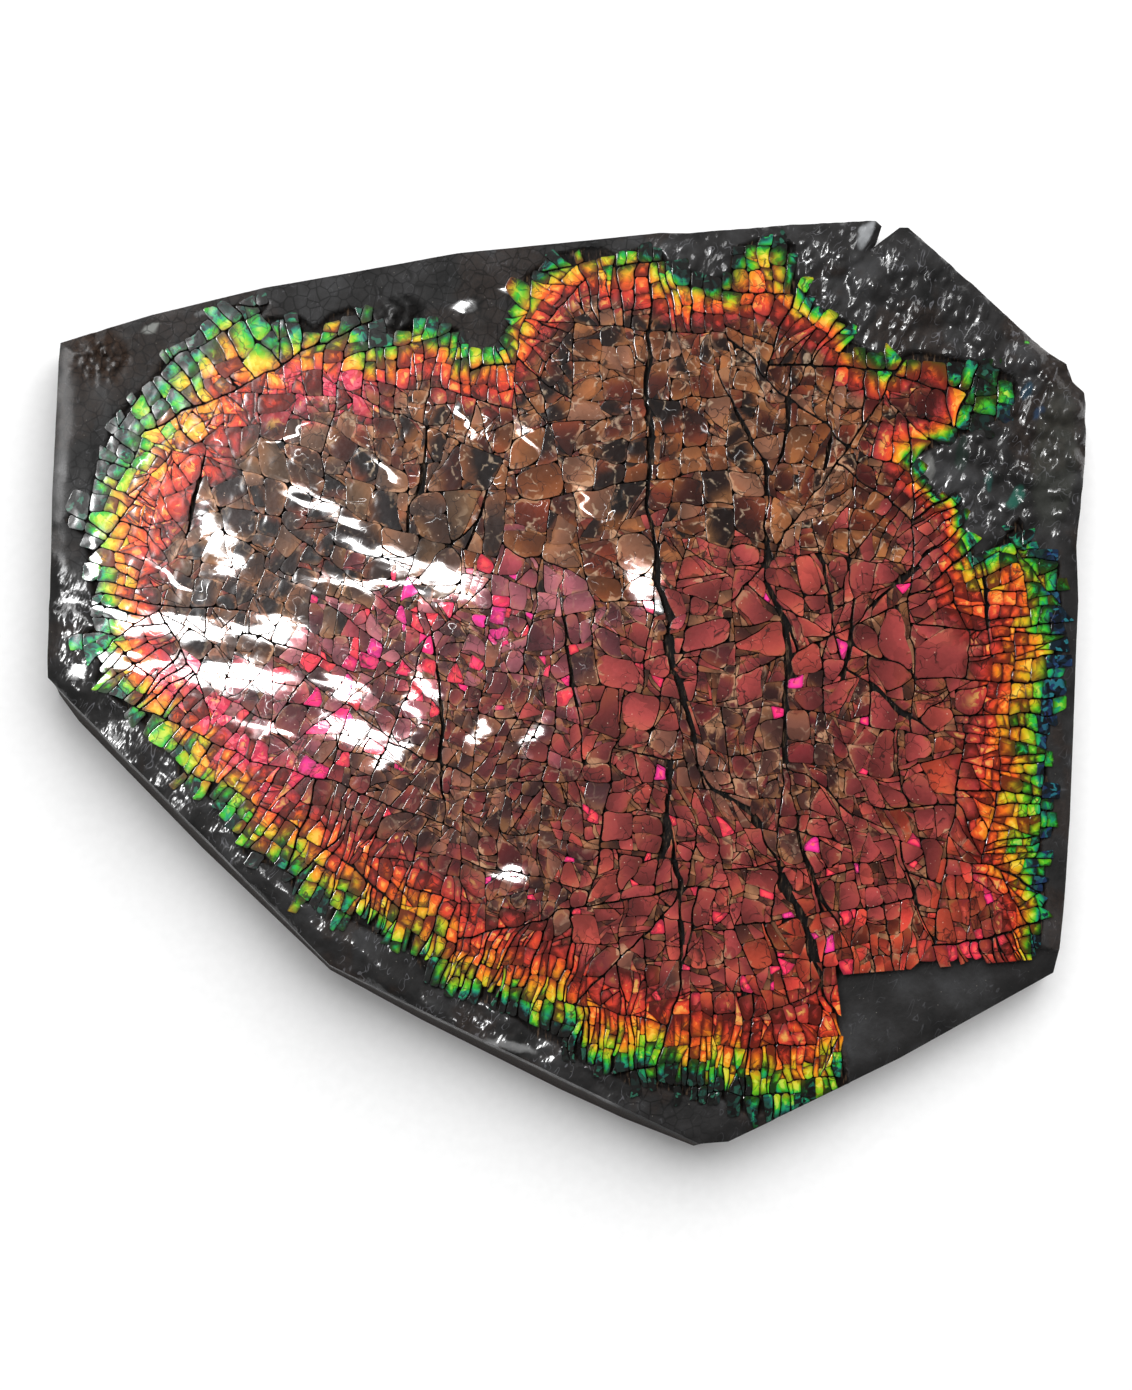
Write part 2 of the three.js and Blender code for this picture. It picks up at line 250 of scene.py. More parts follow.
# The point that the bright sides of the varnish's wrinkles face, half way from the lamp to a viewer above
GLARE_MM = (-105, 35, 420)
ROCK_WRINKLES = [  # place, heading, half length and half width in mm
    (-11.6, 41.4, 60, 1.5, 0.7), (-6.8, 43.6, 20, 1.1, 0.8), (-54.6, 8.6, -20, 2.2, 0.5),
    (-54.2, 1.6, 8, 2.0, 0.5),
]


def deselect_all():
    """Leaves nothing selected, in object mode."""
    if bpy.context.mode != "OBJECT":
        bpy.ops.object.mode_set(mode="OBJECT")
    bpy.ops.object.select_all(action="DESELECT")


def new_piece(name, points, faces):
    """A selected mesh object in metres from points in mm."""
    deselect_all()
    mesh = bpy.data.meshes.new(name)
    mesh.from_pydata((np.asarray(points, float) * MM).tolist(), [], faces)
    piece = bpy.data.objects.new(name, mesh)
    bpy.context.collection.objects.link(piece)
    bpy.context.view_layer.objects.active = piece
    piece.select_set(True)
    return piece


def resampled(outline, spacing):
    """Equal steps along each side of a closed outline, each as its side and its share of that side."""
    steps = []
    for side, ((ax, ay), (bx, by)) in enumerate(zip(outline, outline[1:] + outline[:1])):
        count = max(1, round(math.hypot(bx - ax, by - ay) / spacing))
        steps += [(side, i / count) for i in range(count)]
    return steps


def at_steps(outline, steps):
    """The points of a closed outline at these steps."""
    corners = np.array(outline + outline[:1])
    side = np.array([s for s, _ in steps])
    share = np.array([t for _, t in steps])[:, None]
    return corners[side] * (1 - share) + corners[side + 1] * share


def sawn_back(outline, height):
    """An outline at some height up the slab, moved in where a saw cut leans."""
    moved = np.array(outline, float)
    for (ax, ay), (bx, by) in LEANING_CUTS:
        out = np.array([ay - by, bx - ax]) / math.hypot(bx - ax, by - ay)
        if out @ np.array([-ax, -ay]) > 0:
            out = -out
        past = (moved - (ax, ay)) @ out + height * math.tan(math.radians(SAW_LEAN))
        moved -= np.clip(past, 0, None)[:, None] * out
    return [tuple(p) for p in moved]


ROCK_CELL_MM = 0.3
FLOOR_CELL_MM = 0.8
SIDE_ROWS = 14
HIDDEN_FROM_MM = 0.9  # further in than this from the shell's rim, the rock shows only in cracks


def scattered(outline, spacing, under_shell, seed):
    """Points of a slightly shaken triangular lattice inside an outline, under the shell or out of it."""
    rng = np.random.default_rng(seed)
    low, high = np.min(outline, axis=0), np.max(outline, axis=0)
    rows = np.arange(low[1], high[1], spacing * 0.866)
    columns = np.arange(low[0], high[0], spacing)
    x, y = np.meshgrid(columns, rows)
    x = x + (np.arange(len(rows)) % 2)[:, None] * spacing / 2
    x, y = (a.ravel() + rng.uniform(-0.18, 0.18, x.size) * spacing for a in (x, y))
    kept = inside(x, y, outline) & (distance_to_path(x, y, outline + outline[:1]) > spacing * 0.6)
    x, y = x[kept], y[kept]
    kept = (depth_inside(x, y, SHELL_OUTLINE) >= HIDDEN_FROM_MM) == under_shell
    return np.stack([x[kept], y[kept]], axis=1)


face_outline = sawn_back(SLAB_OUTLINE, FACE_MM)
steps = resampled(face_outline, ROCK_CELL_MM)
rim = at_steps(face_outline, steps)
foot = at_steps(SLAB_OUTLINE, steps)
plan = np.concatenate([
    rim,
    scattered(face_outline, ROCK_CELL_MM, False, 21),
    scattered(face_outline, FLOOR_CELL_MM, True, 22),
])
ring = len(rim)
loop = [(i, (i + 1) % ring) for i in range(ring)]
cdt = delaunay_2d_cdt([Vector(p) for p in plan], loop, [], 1, 1e-7)
plan = np.array([tuple(v) for v in cdt[0]])

x, y = plan.T
under_shell = ease(-0.15, 0.35, depth_inside(x, y, SHELL_OUTLINE))
in_chip = ease(-0.1, 0.25, depth_inside(x, y, CHIP_OUTLINE))
bare = -ROCK_STEP_MM + rock_relief(x, y) * (1 - in_chip)
bedding = -CHIP_DEPTH_MM + 0.03 * rough(x, y, 2.2, 18) + 0.012 * rough(x, y, 0.5, 19)
bare = bare * (1 - in_chip) + bedding * in_chip
floor = -CRACK_FLOOR_MM + 0.06 * rough(x, y, 1.2, 20)
top = face_height(x, y) + bare * (1 - under_shell) + np.minimum(floor, bare) * under_shell
points = [np.column_stack([plan, top])]
faces = [tuple(f) for f in cdt[2]]
rim_top = top[:ring]
previous = np.arange(ring)
for row in range(1, SIDE_ROWS + 1):
    share = row / SIDE_ROWS
    height = rim_top * (1 - share)
    across = (height / rim_top)[:, None]
    place = rim * across + foot * (1 - across)
    start = sum(len(p) for p in points)
    points.append(np.column_stack([place, height]))
    current = np.arange(start, start + ring)
    faces += [(previous[i], current[i], current[j], previous[j]) for i, j in loop]
    previous = current
faces.append(tuple(previous[::-1]))
slab = new_piece("shale_slab", np.concatenate(points), [tuple(int(i) for i in f) for f in faces])

bpy.ops.object.mode_set(mode="EDIT")
bpy.ops.mesh.select_all(action="SELECT")
bpy.ops.mesh.normals_make_consistent(inside=False)
bpy.ops.object.mode_set(mode="OBJECT")
bpy.ops.object.shade_smooth_by_angle(angle=math.radians(48))


def linear(colour):
    """An sRGB hex colour as linear RGBA."""
    channels = [int(colour[i:i + 2], 16) / 255 for i in (1, 3, 5)]
    return [c / 12.92 if c <= 0.04045 else ((c + 0.055) / 1.055) ** 2.4 for c in channels] + [1]


def node(tree, kind, settings=None, **sockets):
    """A node with its settings, and its inputs by name or as i and a number, set to a value or linked."""
    made = tree.nodes.new(kind)
    for key, value in (settings or {}).items():
        setattr(made, key, value)
    for key, value in sockets.items():
        name = key.replace("_", " ")
        socket = made.inputs[int(name[1:])] if name[0] == "i" and name[1:].isdigit() else made.inputs[name]
        if isinstance(value, bpy.types.NodeSocket):
            tree.links.new(value, socket)
        else:
            socket.default_value = value
    return made


def ramp(tree, factor, stops):
    """A colour ramp through (position, hex colour) stops."""
    made = node(tree, "ShaderNodeValToRGB", Fac=factor)
    band = made.color_ramp
    while len(band.elements) < len(stops):
        band.elements.new(1)
    for element, (position, colour) in zip(band.elements, stops):
        element.position = position
        element.color = linear(colour)
    return made.outputs["Color"]


def attribute(tree, name, output="Fac"):
    """What a piece has stored under a name."""
    return node(tree, "ShaderNodeAttribute", {"attribute_name": name}).outputs[output]


def maths(tree, operation, a, b, c=0.0):
    return node(tree, "ShaderNodeMath", {"operation": operation}, i0=a, i1=b, i2=c).outputs[0]


def vectors(tree, operation, a, *others, **sockets):
    """Maths on vectors."""
    sockets.update({f"i{place}": other for place, other in enumerate(others, 1)})
    return node(tree, "ShaderNodeVectorMath", {"operation": operation}, i0=a, **sockets).outputs[0]


def blend(tree, factor, a, b, kind="MIX"):
    settings = {"data_type": "RGBA", "blend_type": kind}
    return node(tree, "ShaderNodeMix", settings, i0=factor, i6=a, i7=b).outputs[2]


def between(tree, share, a, b):
    """The direction part of the way from one to another."""
    mixed = node(tree, "ShaderNodeMix", {"data_type": "VECTOR"}, i0=share, i4=a, i5=b).outputs[1]
    return vectors(tree, "NORMALIZE", mixed)


def span(tree, value, low, high, to_low=0.0, to_high=1.0, kind="SMOOTHSTEP"):
    """A value's share of the way from low to high, told as a value from to_low to to_high."""
    return node(tree, "ShaderNodeMapRange", {"interpolation_type": kind}, Value=value, From_Min=low,
                From_Max=high, To_Min=to_low, To_Max=to_high).outputs[0]


def noise(tree, place, size, detail, output="Fac", **sockets):
    """Noise whose broadest features are about a size in mm."""
    sockets.update(Vector=place, Scale=1 / (size * MM), Detail=detail)
    return node(tree, "ShaderNodeTexNoise", **sockets).outputs[output]


def shaking(tree, place, size, detail):
    """A smooth random vector whose parts run from -0.5 to 0.5."""
    return vectors(tree, "SUBTRACT", noise(tree, place, size, detail, "Color"), (0.5, 0.5, 0.5))


def cells(tree, place, size, output="Distance", feature="F1"):
    """Irregular cells about a size in mm."""
    return node(tree, "ShaderNodeTexVoronoi", {"feature": feature}, Vector=place,
                Scale=1 / (size * MM)).outputs[output]


def laid_along(tree, place, turn, scale, middle=(0, 0)):
    """The place as seen from a middle in mm, turned by degrees and drawn out."""
    return node(tree, "ShaderNodeMapping", {"vector_type": "TEXTURE"}, Vector=place, Scale=scale,
                Location=(middle[0] * MM, middle[1] * MM, 0), Rotation=(0, 0, math.radians(turn))).outputs[0]


def store(piece, name, values, kind="FLOAT"):
    """Writes one named attribute of a piece's points."""
    made = piece.data.attributes.new(name, kind, "POINT")
    values = np.ascontiguousarray(values, np.float32).ravel()
    made.data.foreach_set("color" if kind == "FLOAT_COLOR" else "value", values)


def new_material(name):
    """A material without nodes yet, and its node tree."""
    material = bpy.data.materials.new(name)
    material.use_nodes = True
    tree = material.node_tree
    tree.nodes.clear()
    return material, tree


def wrinkled_at(tree, place, wrinkles, breadth):
    """1 in the middle of each wrinkle of the varnish and 0 away from them, with ragged, drawn-out edges."""
    jitter = shaking(tree, laid_along(tree, place, -16, (2.4, 0.9, 1)), 1.7, 0.9)
    shaken = vectors(tree, "MULTIPLY_ADD", jitter, (3.4 * MM, 4.2 * MM, 0), place)
    share = 0.0
    for x, y, turn, half_length, half_width in wrinkles:
        scale = (half_length * 1.45 * MM, half_width * breadth * MM, 100)
        own = laid_along(tree, shaken, turn, scale, (x, y))
        here = node(tree, "ShaderNodeTexGradient", {"gradient_type": "SPHERICAL"}, Vector=own).outputs["Fac"]
        share = maths(tree, "MAXIMUM", here, share)
    streaks = noise(tree, laid_along(tree, shaken, -14, (4, 1, 1)), 0.6, 1)
    return maths(tree, "MULTIPLY", share, maths(tree, "MULTIPLY_ADD", streaks, 1.6, 0.2))


def leaning_to_glare(tree, place):
    """The tilt that makes a level face mirror the lamp at the left into a viewer above."""
    towards = vectors(tree, "SUBTRACT", [v * MM for v in GLARE_MM], place)
    return vectors(tree, "MULTIPLY", towards, (1 / (GLARE_MM[2] * MM), 1 / (GLARE_MM[2] * MM), 0))


# Hard dark shale: charcoal with rusty brown patches, wet-looking under a clear varnish on the face and duller
# on the sawn sides.
shale, tree = new_material("varnished_shale")
place = node(tree, "ShaderNodeTexCoord").outputs["Object"]
clouds = noise(tree, place, 6, 5, Roughness=0.6)
grit = noise(tree, place, 0.5, 4, Roughness=0.7)
grey = ramp(tree, clouds, [(0.3, "#191919"), (0.5, "#282727"), (0.7, "#39393a")])
brown = ramp(tree, grit, [(0.3, "#1c1512"), (0.7, "#3a2c23")])
colour = blend(tree, attribute(tree, "rust"), grey, brown)

# Painted highlights as pale swirling lines along the edges of the lumpy rock's fine wrinkles, then stains,
# dirt in the cracks of the shell, sawn sides, specks and slits
drawn = laid_along(tree, place, GRAIN_HEADING, (2.0, 1, 1))
lumpy = attribute(tree, "lumpy")
levels = maths(tree, "PINGPONG", noise(tree, drawn, 1.5, 1.5, Distortion=0.5), 0.08)
line = ramp(tree, levels, [(0.0, "#ffffff"), (0.012, "#000000")])
here = ramp(tree, noise(tree, place, 1.8, 1), [(0.5, "#000000"), (0.62, "#b0b0b0")])
line = maths(tree, "MULTIPLY", blend(tree, 1.0, line, here, "MULTIPLY"), lumpy)
# Painted highlights: the pale lines stand in for the shine on the edges of the rock's wrinkles
colour = blend(tree, line, colour, linear("#8e8e94"))
colour = blend(tree, attribute(tree, "stain", "Alpha"), colour, attribute(tree, "stain", "Color"))
crack_floor = attribute(tree, "crack_floor")
streaked = node(tree, "ShaderNodeMapping", Vector=place, Rotation=(0, 0, math.radians(-8)), Scale=(4, 0.8, 1))
streaks = noise(tree, streaked.outputs[0], 1.2, 3)
crack_fill = ramp(tree, streaks, [(0.45, "#0d0908"), (0.58, "#1e1510"), (0.68, "#564434")])
colour = blend(tree, crack_floor, colour, crack_fill)
sawn_share = attribute(tree, "sawn")
sawn = ramp(tree, grit, [(0.3, "#1a1310"), (0.7, "#33271f")])
colour = blend(tree, sawn_share, colour, sawn)
specks = ramp(tree, cells(tree, place, 0.9), [(0.0, "#ffffff"), (0.07, "#000000")])
colour = blend(tree, specks, colour, linear("#8a857c"))
slits = cells(tree, place, 1.3, feature="DISTANCE_TO_EDGE")
slits = ramp(tree, slits, [(0.0, "#a4a4a4"), (0.08, "#ffffff")])
colour = blend(tree, attribute(tree, "aged"), colour, slits, "MULTIPLY")

# The varnish: level where the rock is smooth, pocked where it is lumpy, and with a few wrinkles that mirror
# the lamp at the left
bump = node(tree, "ShaderNodeBump", Strength=0.6, Distance=0.15 * MM, Height=grit)
own_face = node(tree, "ShaderNodeNewGeometry").outputs["Normal"]
varnish = between(tree, lumpy, (0, 0, 1), own_face)
pocks = maths(tree, "MULTIPLY", noise(tree, drawn, 0.55, 1), span(tree, lumpy, 0.3, 1.0, kind="LINEAR"))
varnish = node(tree, "ShaderNodeBump", Strength=1.0, Distance=0.13 * MM, Height=pocks, Normal=varnish)
wrinkled = span(tree, wrinkled_at(tree, place, ROCK_WRINKLES, 1.9), 0.1, 1.0, kind="LINEAR")
tilt = vectors(tree, "ADD", leaning_to_glare(tree, place), (0, 0, 1))
varnish = between(tree, wrinkled, varnish.outputs[0], tilt)
coated_share = maths(tree, "SUBTRACT", 1.0, maths(tree, "MAXIMUM", sawn_share, crack_floor))
coated = maths(tree, "MULTIPLY", attribute(tree, "wet"), coated_share)
coated = maths(tree, "MULTIPLY", coated, span(tree, clouds, 0.42, 0.6, 0.6, 1.0, "LINEAR"))
coated = maths(tree, "MAXIMUM", coated, wrinkled)
shader = node(tree, "ShaderNodeBsdfPrincipled", Base_Color=colour, Roughness=0.6, Normal=bump.outputs[0],
              Specular_IOR_Level=0.1, Coat_Weight=coated, Coat_Roughness=0.17, Coat_Normal=varnish)
node(tree, "ShaderNodeOutputMaterial", Surface=shader.outputs[0])
slab.data.materials.append(shale)

# What the material reads at each point of the slab
where = np.empty(len(slab.data.vertices) * 3, np.float32)
slab.data.vertices.foreach_get("co", where)
vx, vy, vz = where.reshape(-1, 3).T / MM
on_face = np.arange(len(vx)) < len(plan)
store(slab, "crack_floor", ease(-0.1, 0.3, depth_inside(vx, vy, SHELL_OUTLINE)) * on_face)
store(slab, "sawn", ease(1.6, 2.6, face_height(vx, vy) - vz) * ~on_face)
rust = 0.4 * ease(0.1, 0.5, rough(vx, vy, 5, 31) + 0.4 * rough(vx, vy, 1.2, 32))
rust = rust * (depth_inside(vx, vy, CHIP_OUTLINE) < 0)
store(slab, "rust", np.clip(rust + mound(away_from(vx, vy, RUSTY_CORNER_MM), 5) * 1.4, 0, 1))
rough_share = np.clip(upper_right(vx, vy, 10, 20) + lower_left(vx, vy), 0, 1)
store(slab, "wet", 0.1 + 0.7 * rough_share)
store(slab, "lumpy", 0.3 + 0.7 * rough_share)
store(slab, "aged", (1 - ease(-6, 6, vx - 14)) * (1 - rough_share))
stains = np.zeros((len(vx), 4))
for sx, sy, heading, half_length, half_width, shade, strength in STAINS:
    away_x = vx - sx + 0.25 * rough(vx, vy, 0.9, 61)
    away_y = vy - sy + 0.25 * rough(vx, vy, 0.9, 62)
    along, across = turned(away_x, away_y, heading)
    covered = (1 - ease(0.75, 1.15, np.hypot(along / half_length, across / half_width))) * strength
    over = covered > stains[:, 3]
    stains[over, :3] = linear(shade)[:3]
    stains[over, 3] = covered[over]
store(slab, "stain", stains, "FLOAT_COLOR")
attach(slab, "root")
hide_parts("matrix_slab")

# --- Ammolite sheet ---------------------------------------------------------------------------------------
# The nacre of an ammonite, one thin sheet crazed into thousands of plates that still lie where they formed.
# Radial cracks part narrow columns at the rim, the middle is broken into broad plates with slivers round
# them, and all are bonded to the shale below.

# The rim: place in mm, heading of the columns in degrees, their width and length, the width of the rainbow
# there and the share of it that is worn dark
RIM = [
    (-50.3, -0.7, 45, 1.7, 2.2, 7.5, -0.03), (-37.1, -13.9, 52, 1.6, 2.2, 8, -0.04),
    (-25, -22.7, 62, 1.5, 2.3, 8.5, -0.02), (-12.9, -30.4, 72, 1.4, 2.3, 10, 0.02),
    (-0.8, -37, 80, 1.3, 2.3, 10.5, 0.1), (12.4, -41.4, 86, 1.2, 2.3, 11, 0.16),
    (24.5, -42.5, 95, 1.3, 2.2, 11, 0.13), (29.5, -38.5, 100, 1.1, 1.7, 13, 0.05),
    (47.6, -27.1, 100, 1.6, 2, 5, 0.1), (50.9, -18.3, 0, 1.7, 1.5, 10.5, 0.02),
    (51.5, -1.8, 0, 1.9, 1.7, 10.5, 0.05), (52, 9.2, 0, 2.0, 1.8, 9, 0.05),
    (42.1, 21.3, 45, 1.5, 1.7, 2.2, 0.05), (46.5, 32.9, 80, 2.7, 3.2, 15, 0.02),
    (39.6, 30.6, 85, 3.4, 4.2, 3.6, 0.0), (34.4, 34.5, 85, 2, 2.8, 5, 0.0), (27.8, 40, 50, 1.9, 2.2, 4, 0.0),
    (21.2, 47.7, 90, 1.9, 2, 7, 0.08), (5.8, 45.5, 90, 2, 2.3, 6, 0.05), (-4.1, 42.2, 150, 1.9, 2.1, 5, 0.0),
    (-14, 37.8, 85, 1.9, 2.2, 6, 0.0), (-27.2, 37.8, 90, 2.4, 2.3, 9, 0.0),
    (-37.1, 38.9, 125, 2.5, 2.4, 12, 0.05), (-45.9, 30.1, 135, 2.4, 2.2, 14, 0.08),
    (-50.8, 20.2, 160, 2.4, 2.3, 11.5, 0.07), (-51.9, 9.2, 170, 2.3, 2.2, 7, 0.12),
]
# The middle's plates: place, heading, width and length, and the finish found there
PLATES = [
    (-29.4, 22.4, 80, 3.6, 3.6, "dusky"), (-40, 24, 110, 2.6, 2.8, "dusky"),
    (-34.9, 9.2, 60, 2.8, 3.0, "dusky"), (-18.4, 3.7, 70, 2.0, 2.4, "fiery"),
    (-26, 0, 60, 2.0, 2.4, "fiery"), (-15.1, 18, 85, 4.6, 4.8, "dusky"), (-0.8, 22.4, 88, 4.6, 4.2, "brown"),
    (-4, 31, 88, 3.8, 3.8, "brown"), (-20, 31, 85, 3.0, 3.2, "brown"), (-0.8, 4.8, 88, 2.6, 3.2, "fiery"),
    (-8, 10, 80, 2.4, 2.8, "fiery"), (-18.4, -12.8, 68, 2.0, 2.6, "dull"),
    (-5.2, -21.6, 78, 2.1, 2.7, "dull"), (-8, -10, 75, 2.3, 2.7, "dull"), (8, -1.8, 85, 3.8, 4.2, "maroon"),
    (5.8, -21.6, 85, 3.0, 3.8, "maroon"), (17.9, 11.4, 85, 5.0, 4.4, "maroon"),
    (19, -23.8, 92, 3.2, 4.0, "maroon"), (27.8, 9.2, 90, 3.6, 3.6, "maroon"),
    (38.8, 7, 80, 5.0, 4.4, "maroon"), (36.6, -8.4, 85, 4.0, 4.0, "maroon"),
    (44, -15, 105, 1.7, 3.6, "glowing"), (33.3, -21.6, 95, 2.6, 3.2, "maroon"),
    (9.1, 31.2, 90, 3.4, 3.4, "brown"), (19, 29, 88, 3.0, 3.2, "brown"), (28.9, 29, 88, 3.0, 3.2, "brown"),
    (38.8, 30.1, 90, 4.0, 4.4, "dark red"), (14.6, 22.4, 90, 4.4, 3.6, "brown"),
    (25.6, 20.2, 90, 3.2, 3.4, "brown"), (16, 40, 90, 2.6, 2.8, "brown"),
    (27, -31.5, 95, 1.6, 2.2, "glowing"), (37, -28.5, 98, 1.5, 2.6, "glowing"),
    (45, -25, 104, 1.6, 3.2, "glowing"), (47.5, -18.5, 100, 1.3, 2.6, "glowing"),
    (38, -19, 98, 2.4, 3.4, "maroon"), (17.5, -8, 90, 2.4, 3.0, "dull"), (27, -7, 90, 2.6, 3.0, "dull"),
    (3, 16, 88, 4.6, 4.4, "brown"), (-9, 22, 85, 5.4, 5.2, "brown"),
]
RIM_REACH_MM = 5.5
# The plates' finishes: their colours, and how much is clouded with tan, domed, cracked open and made of
# embers, hot pink plates with painted light
Finish = namedtuple("Finish", "colours clouded domed open embers")
FINISHES = {
    "dusky": Finish(["#3c2a24", "#4c342a", "#2a1c1a", "#60442e", "#1e1616", "#4a2e20", "#6c4c3a"],
                    0.4, 0.4, 0.35, 0.0),
    "brown": Finish(["#451a10", "#743c1a", "#22120e", "#945830", "#622412", "#1a100e", "#8a5a42"],
                    0.6, 0.5, 0.45, 0.0),
    "dull": Finish(["#5e2426", "#742c2c", "#522f28", "#3c1c1a", "#845040", "#6a2024"], 0.4, 0.35, 0.7, 0.07),
    "maroon": Finish(["#883432", "#9e3c3a", "#a84038", "#782c2a", "#963838"], 0.25, 0.08, 0.85, 0.06),
    "dark red": Finish(["#4a1210", "#561614", "#621a16"], 0.3, 0.1, 0.9, 0.02),
    "glowing": Finish(["#a43624", "#b44028", "#7e2c1e", "#963624", "#6a2618", "#cc3c32"],
                      0.3, 0.3, 0.9, 0.15),
    "fiery": Finish(["#7e3a42", "#96505a", "#602c32", "#a8404c", "#6c3236", "#b0646c", "#502c2e", "#884048"],
                    0.35, 0.4, 0.6, 0.22),
}
SLIVERS = ["#744628", "#82543a", "#58301e", "#946446", "#442418", "#762c22", "#4a221c"]
EMBERS = ["#ff1a7a", "#ff2a60", "#ff3a50", "#ff2a9a", "#f03048"]
FISSURES = [  # the width at the middle and the route
    (1.3, [
        (9.4, 42.8), (8.6, 37.2), (8.2, 30.3), (8.7, 18), (9.7, 11.2), (10.9, 8.3), (12.3, 1.1),
        (15.4, -10.5),
    ]),
    (1.2, [(14.8, -8.5), (16.3, -11.3), (19.3, -12.7), (21.2, -15.5), (25.2, -26), (29.1, -36.7)]),
    (0.9, [(12.6, -3), (11.7, -9.4), (10.9, -15.2), (12.4, -23), (12.1, -32.6)]),
    (0.9, [(16.4, 34.2), (21.9, 24), (21.9, 11.2), (23.4, 7.6), (24.3, 2.7), (24, -4.5), (24.3, -12.1)]),
    (0.7, [(31.2, 21.8), (31.1, 4.5), (30.3, 1.5), (38.6, -4), (42.8, -0.7)]),
    (0.8, [(40.7, 15.4), (35.8, 10), (32.6, 7)]),
    (1.0, [(-15.1, 27.7), (-15.6, 23), (-17.1, 18.3)]),
    (0.6, [(-8.6, 22.1), (-10.4, 17.5), (-13.9, 14.2)]),
    (0.6, [(24.9, 34.2), (24.3, 28.1), (22.7, 23.6)]),
    (0.5, [(29.1, 28.1), (28.2, 22.1)]),
    (0.6, [(27.6, 16.6), (28.6, 6.9), (30, 3)]),
    (0.6, [(45.5, 13), (46.4, 3.9)]),
    (0.5, [(-39.5, 25.7), (-42.6, 13.6)]),
    (0.6, [(24.3, -12.1), (27, -22), (31, -29)]),
    (0.5, [(-15.5, 8), (-14, -4), (-13.4, -16)]),
    (0.5, [(-1, 10), (0.4, -1), (1.8, -9)]),
    (0.5, [(35, -14), (37.5, -22), (40, -28)]),
]

rng = np.random.default_rng(5)
# The sheet's measures are worked out on a grid of 1 mm that reaches past it
GRID_HALF_MM = (60, 54)
grid_x, grid_y = np.meshgrid(*(np.arange(-half, half + 1.0) for half in GRID_HALF_MM), indexing="ij")
# The rainbow follows the whole rim but for the chip's sides
rim_start, rim_end = SHELL_OUTLINE.index((31.3, -45)), SHELL_OUTLINE.index((51.9, -29))
RAINBOW_RIM = SHELL_OUTLINE[rim_start:] + SHELL_OUTLINE[:rim_end + 1]
rim_grid = distance_to_path(grid_x, grid_y, RAINBOW_RIM)
shell_grid = depth_inside(grid_x, grid_y, SHELL_OUTLINE)


def blended(spots):
    """Each spot's weight at each place of the grid, from its nearness."""
    near = np.stack([1 / (away_from(grid_x, grid_y, spot) + 0.5) ** 3.4 for spot in spots])
    return near / near.sum(axis=0)


rim_weight, plate_weight = blended(RIM), blended(PLATES)
rim_share = 1 - ease(RIM_REACH_MM, RIM_REACH_MM * 2.1, rim_grid)


def mapped(rim_values, plate_values):
    """One value of both lists, spread over the grid: the rim's near the rim and the plates' in the middle."""
    at_rim = np.tensordot(rim_values, rim_weight, 1)
    in_middle = np.tensordot(plate_values, plate_weight, 1)
    return at_rim * rim_share + in_middle * (1 - rim_share)


rim_turns, plate_turns = (np.radians([2 * s[2] for s in spots]) for spots in (RIM, PLATES))
heading_map = np.arctan2(mapped(np.sin(rim_turns), np.sin(plate_turns)),
                         mapped(np.cos(rim_turns), np.cos(plate_turns))) / 2
width_map, length_map = (mapped([s[i] for s in RIM], [s[i] for s in PLATES]) for i in (3, 4))
band_map, worn_map = (np.tensordot([s[i] for s in RIM], rim_weight, 1) for i in (5, 6))
open_map = mapped([1.0] * len(RIM), [FINISHES[s[5]].open for s in PLATES])


def at(grid, x, y):
    """A grid's value at a place."""
    return grid[..., int(round(x + GRID_HALF_MM[0])), int(round(y + GRID_HALF_MM[1]))]


def centre_of(plate):
    """The mean of a plate's corners."""
    return sum(p[0] for p in plate) / len(plate), sum(p[1] for p in plate) / len(plate)


def turn_of(plate):
    """Twice a plate's area, above 0 where its corners run anticlockwise."""
    return sum(p[0] * q[1] - q[0] * p[1] for p, q in zip(plate, plate[1:] + plate[:1]))


def area_of(plate):
    return 0.5 * abs(turn_of(plate))


def split(plate, point, heading, gap=0.0):
    """The parts of a convex plate to the left and right of a cut. A plate is a run of corners, each with half
    the width of the crack along the side that starts there."""
    nx, ny = -math.sin(heading), math.cos(heading)
    sides = [(p[0] - point[0]) * nx + (p[1] - point[1]) * ny for p in plate]
    left, right = [], []
    for i, (p, s) in enumerate(zip(plate, sides)):
        q, t = plate[(i + 1) % len(plate)], sides[(i + 1) % len(plate)]
        (left if s >= 0 else right).append(p)
        if (s >= 0) != (t >= 0):
            share = s / (s - t)
            x, y = p[0] + share * (q[0] - p[0]), p[1] + share * (q[1] - p[1])
            left.append((x, y, gap if s >= 0 else p[2]))
            right.append((x, y, p[2] if s >= 0 else gap))
    return (left if len(left) > 2 else None), (right if len(right) > 2 else None)


def extents(plate, heading):
    """How far a plate reaches along and across a heading, as (low, high) pairs."""
    c, s = math.cos(heading), math.sin(heading)
    along = [p[0] * c + p[1] * s for p in plate]
    across = [p[1] * c - p[0] * s for p in plate]
    return (min(along), max(along)), (min(across), max(across))


CLOSED_MM = 0.008  # half the width of a crack that stayed closed
CRUMB_MM2 = 0.1  # parts smaller than this are lost


def crack(length, openness):
    """Half the width of a crack, wider where it is longer; some short ones stay closed."""
    if length < 5 and rng.random() > openness * 0.6:
        return CLOSED_MM
    return min(0.02 + 0.006 * length, 0.085) * rng.uniform(0.5, 1.4) * openness


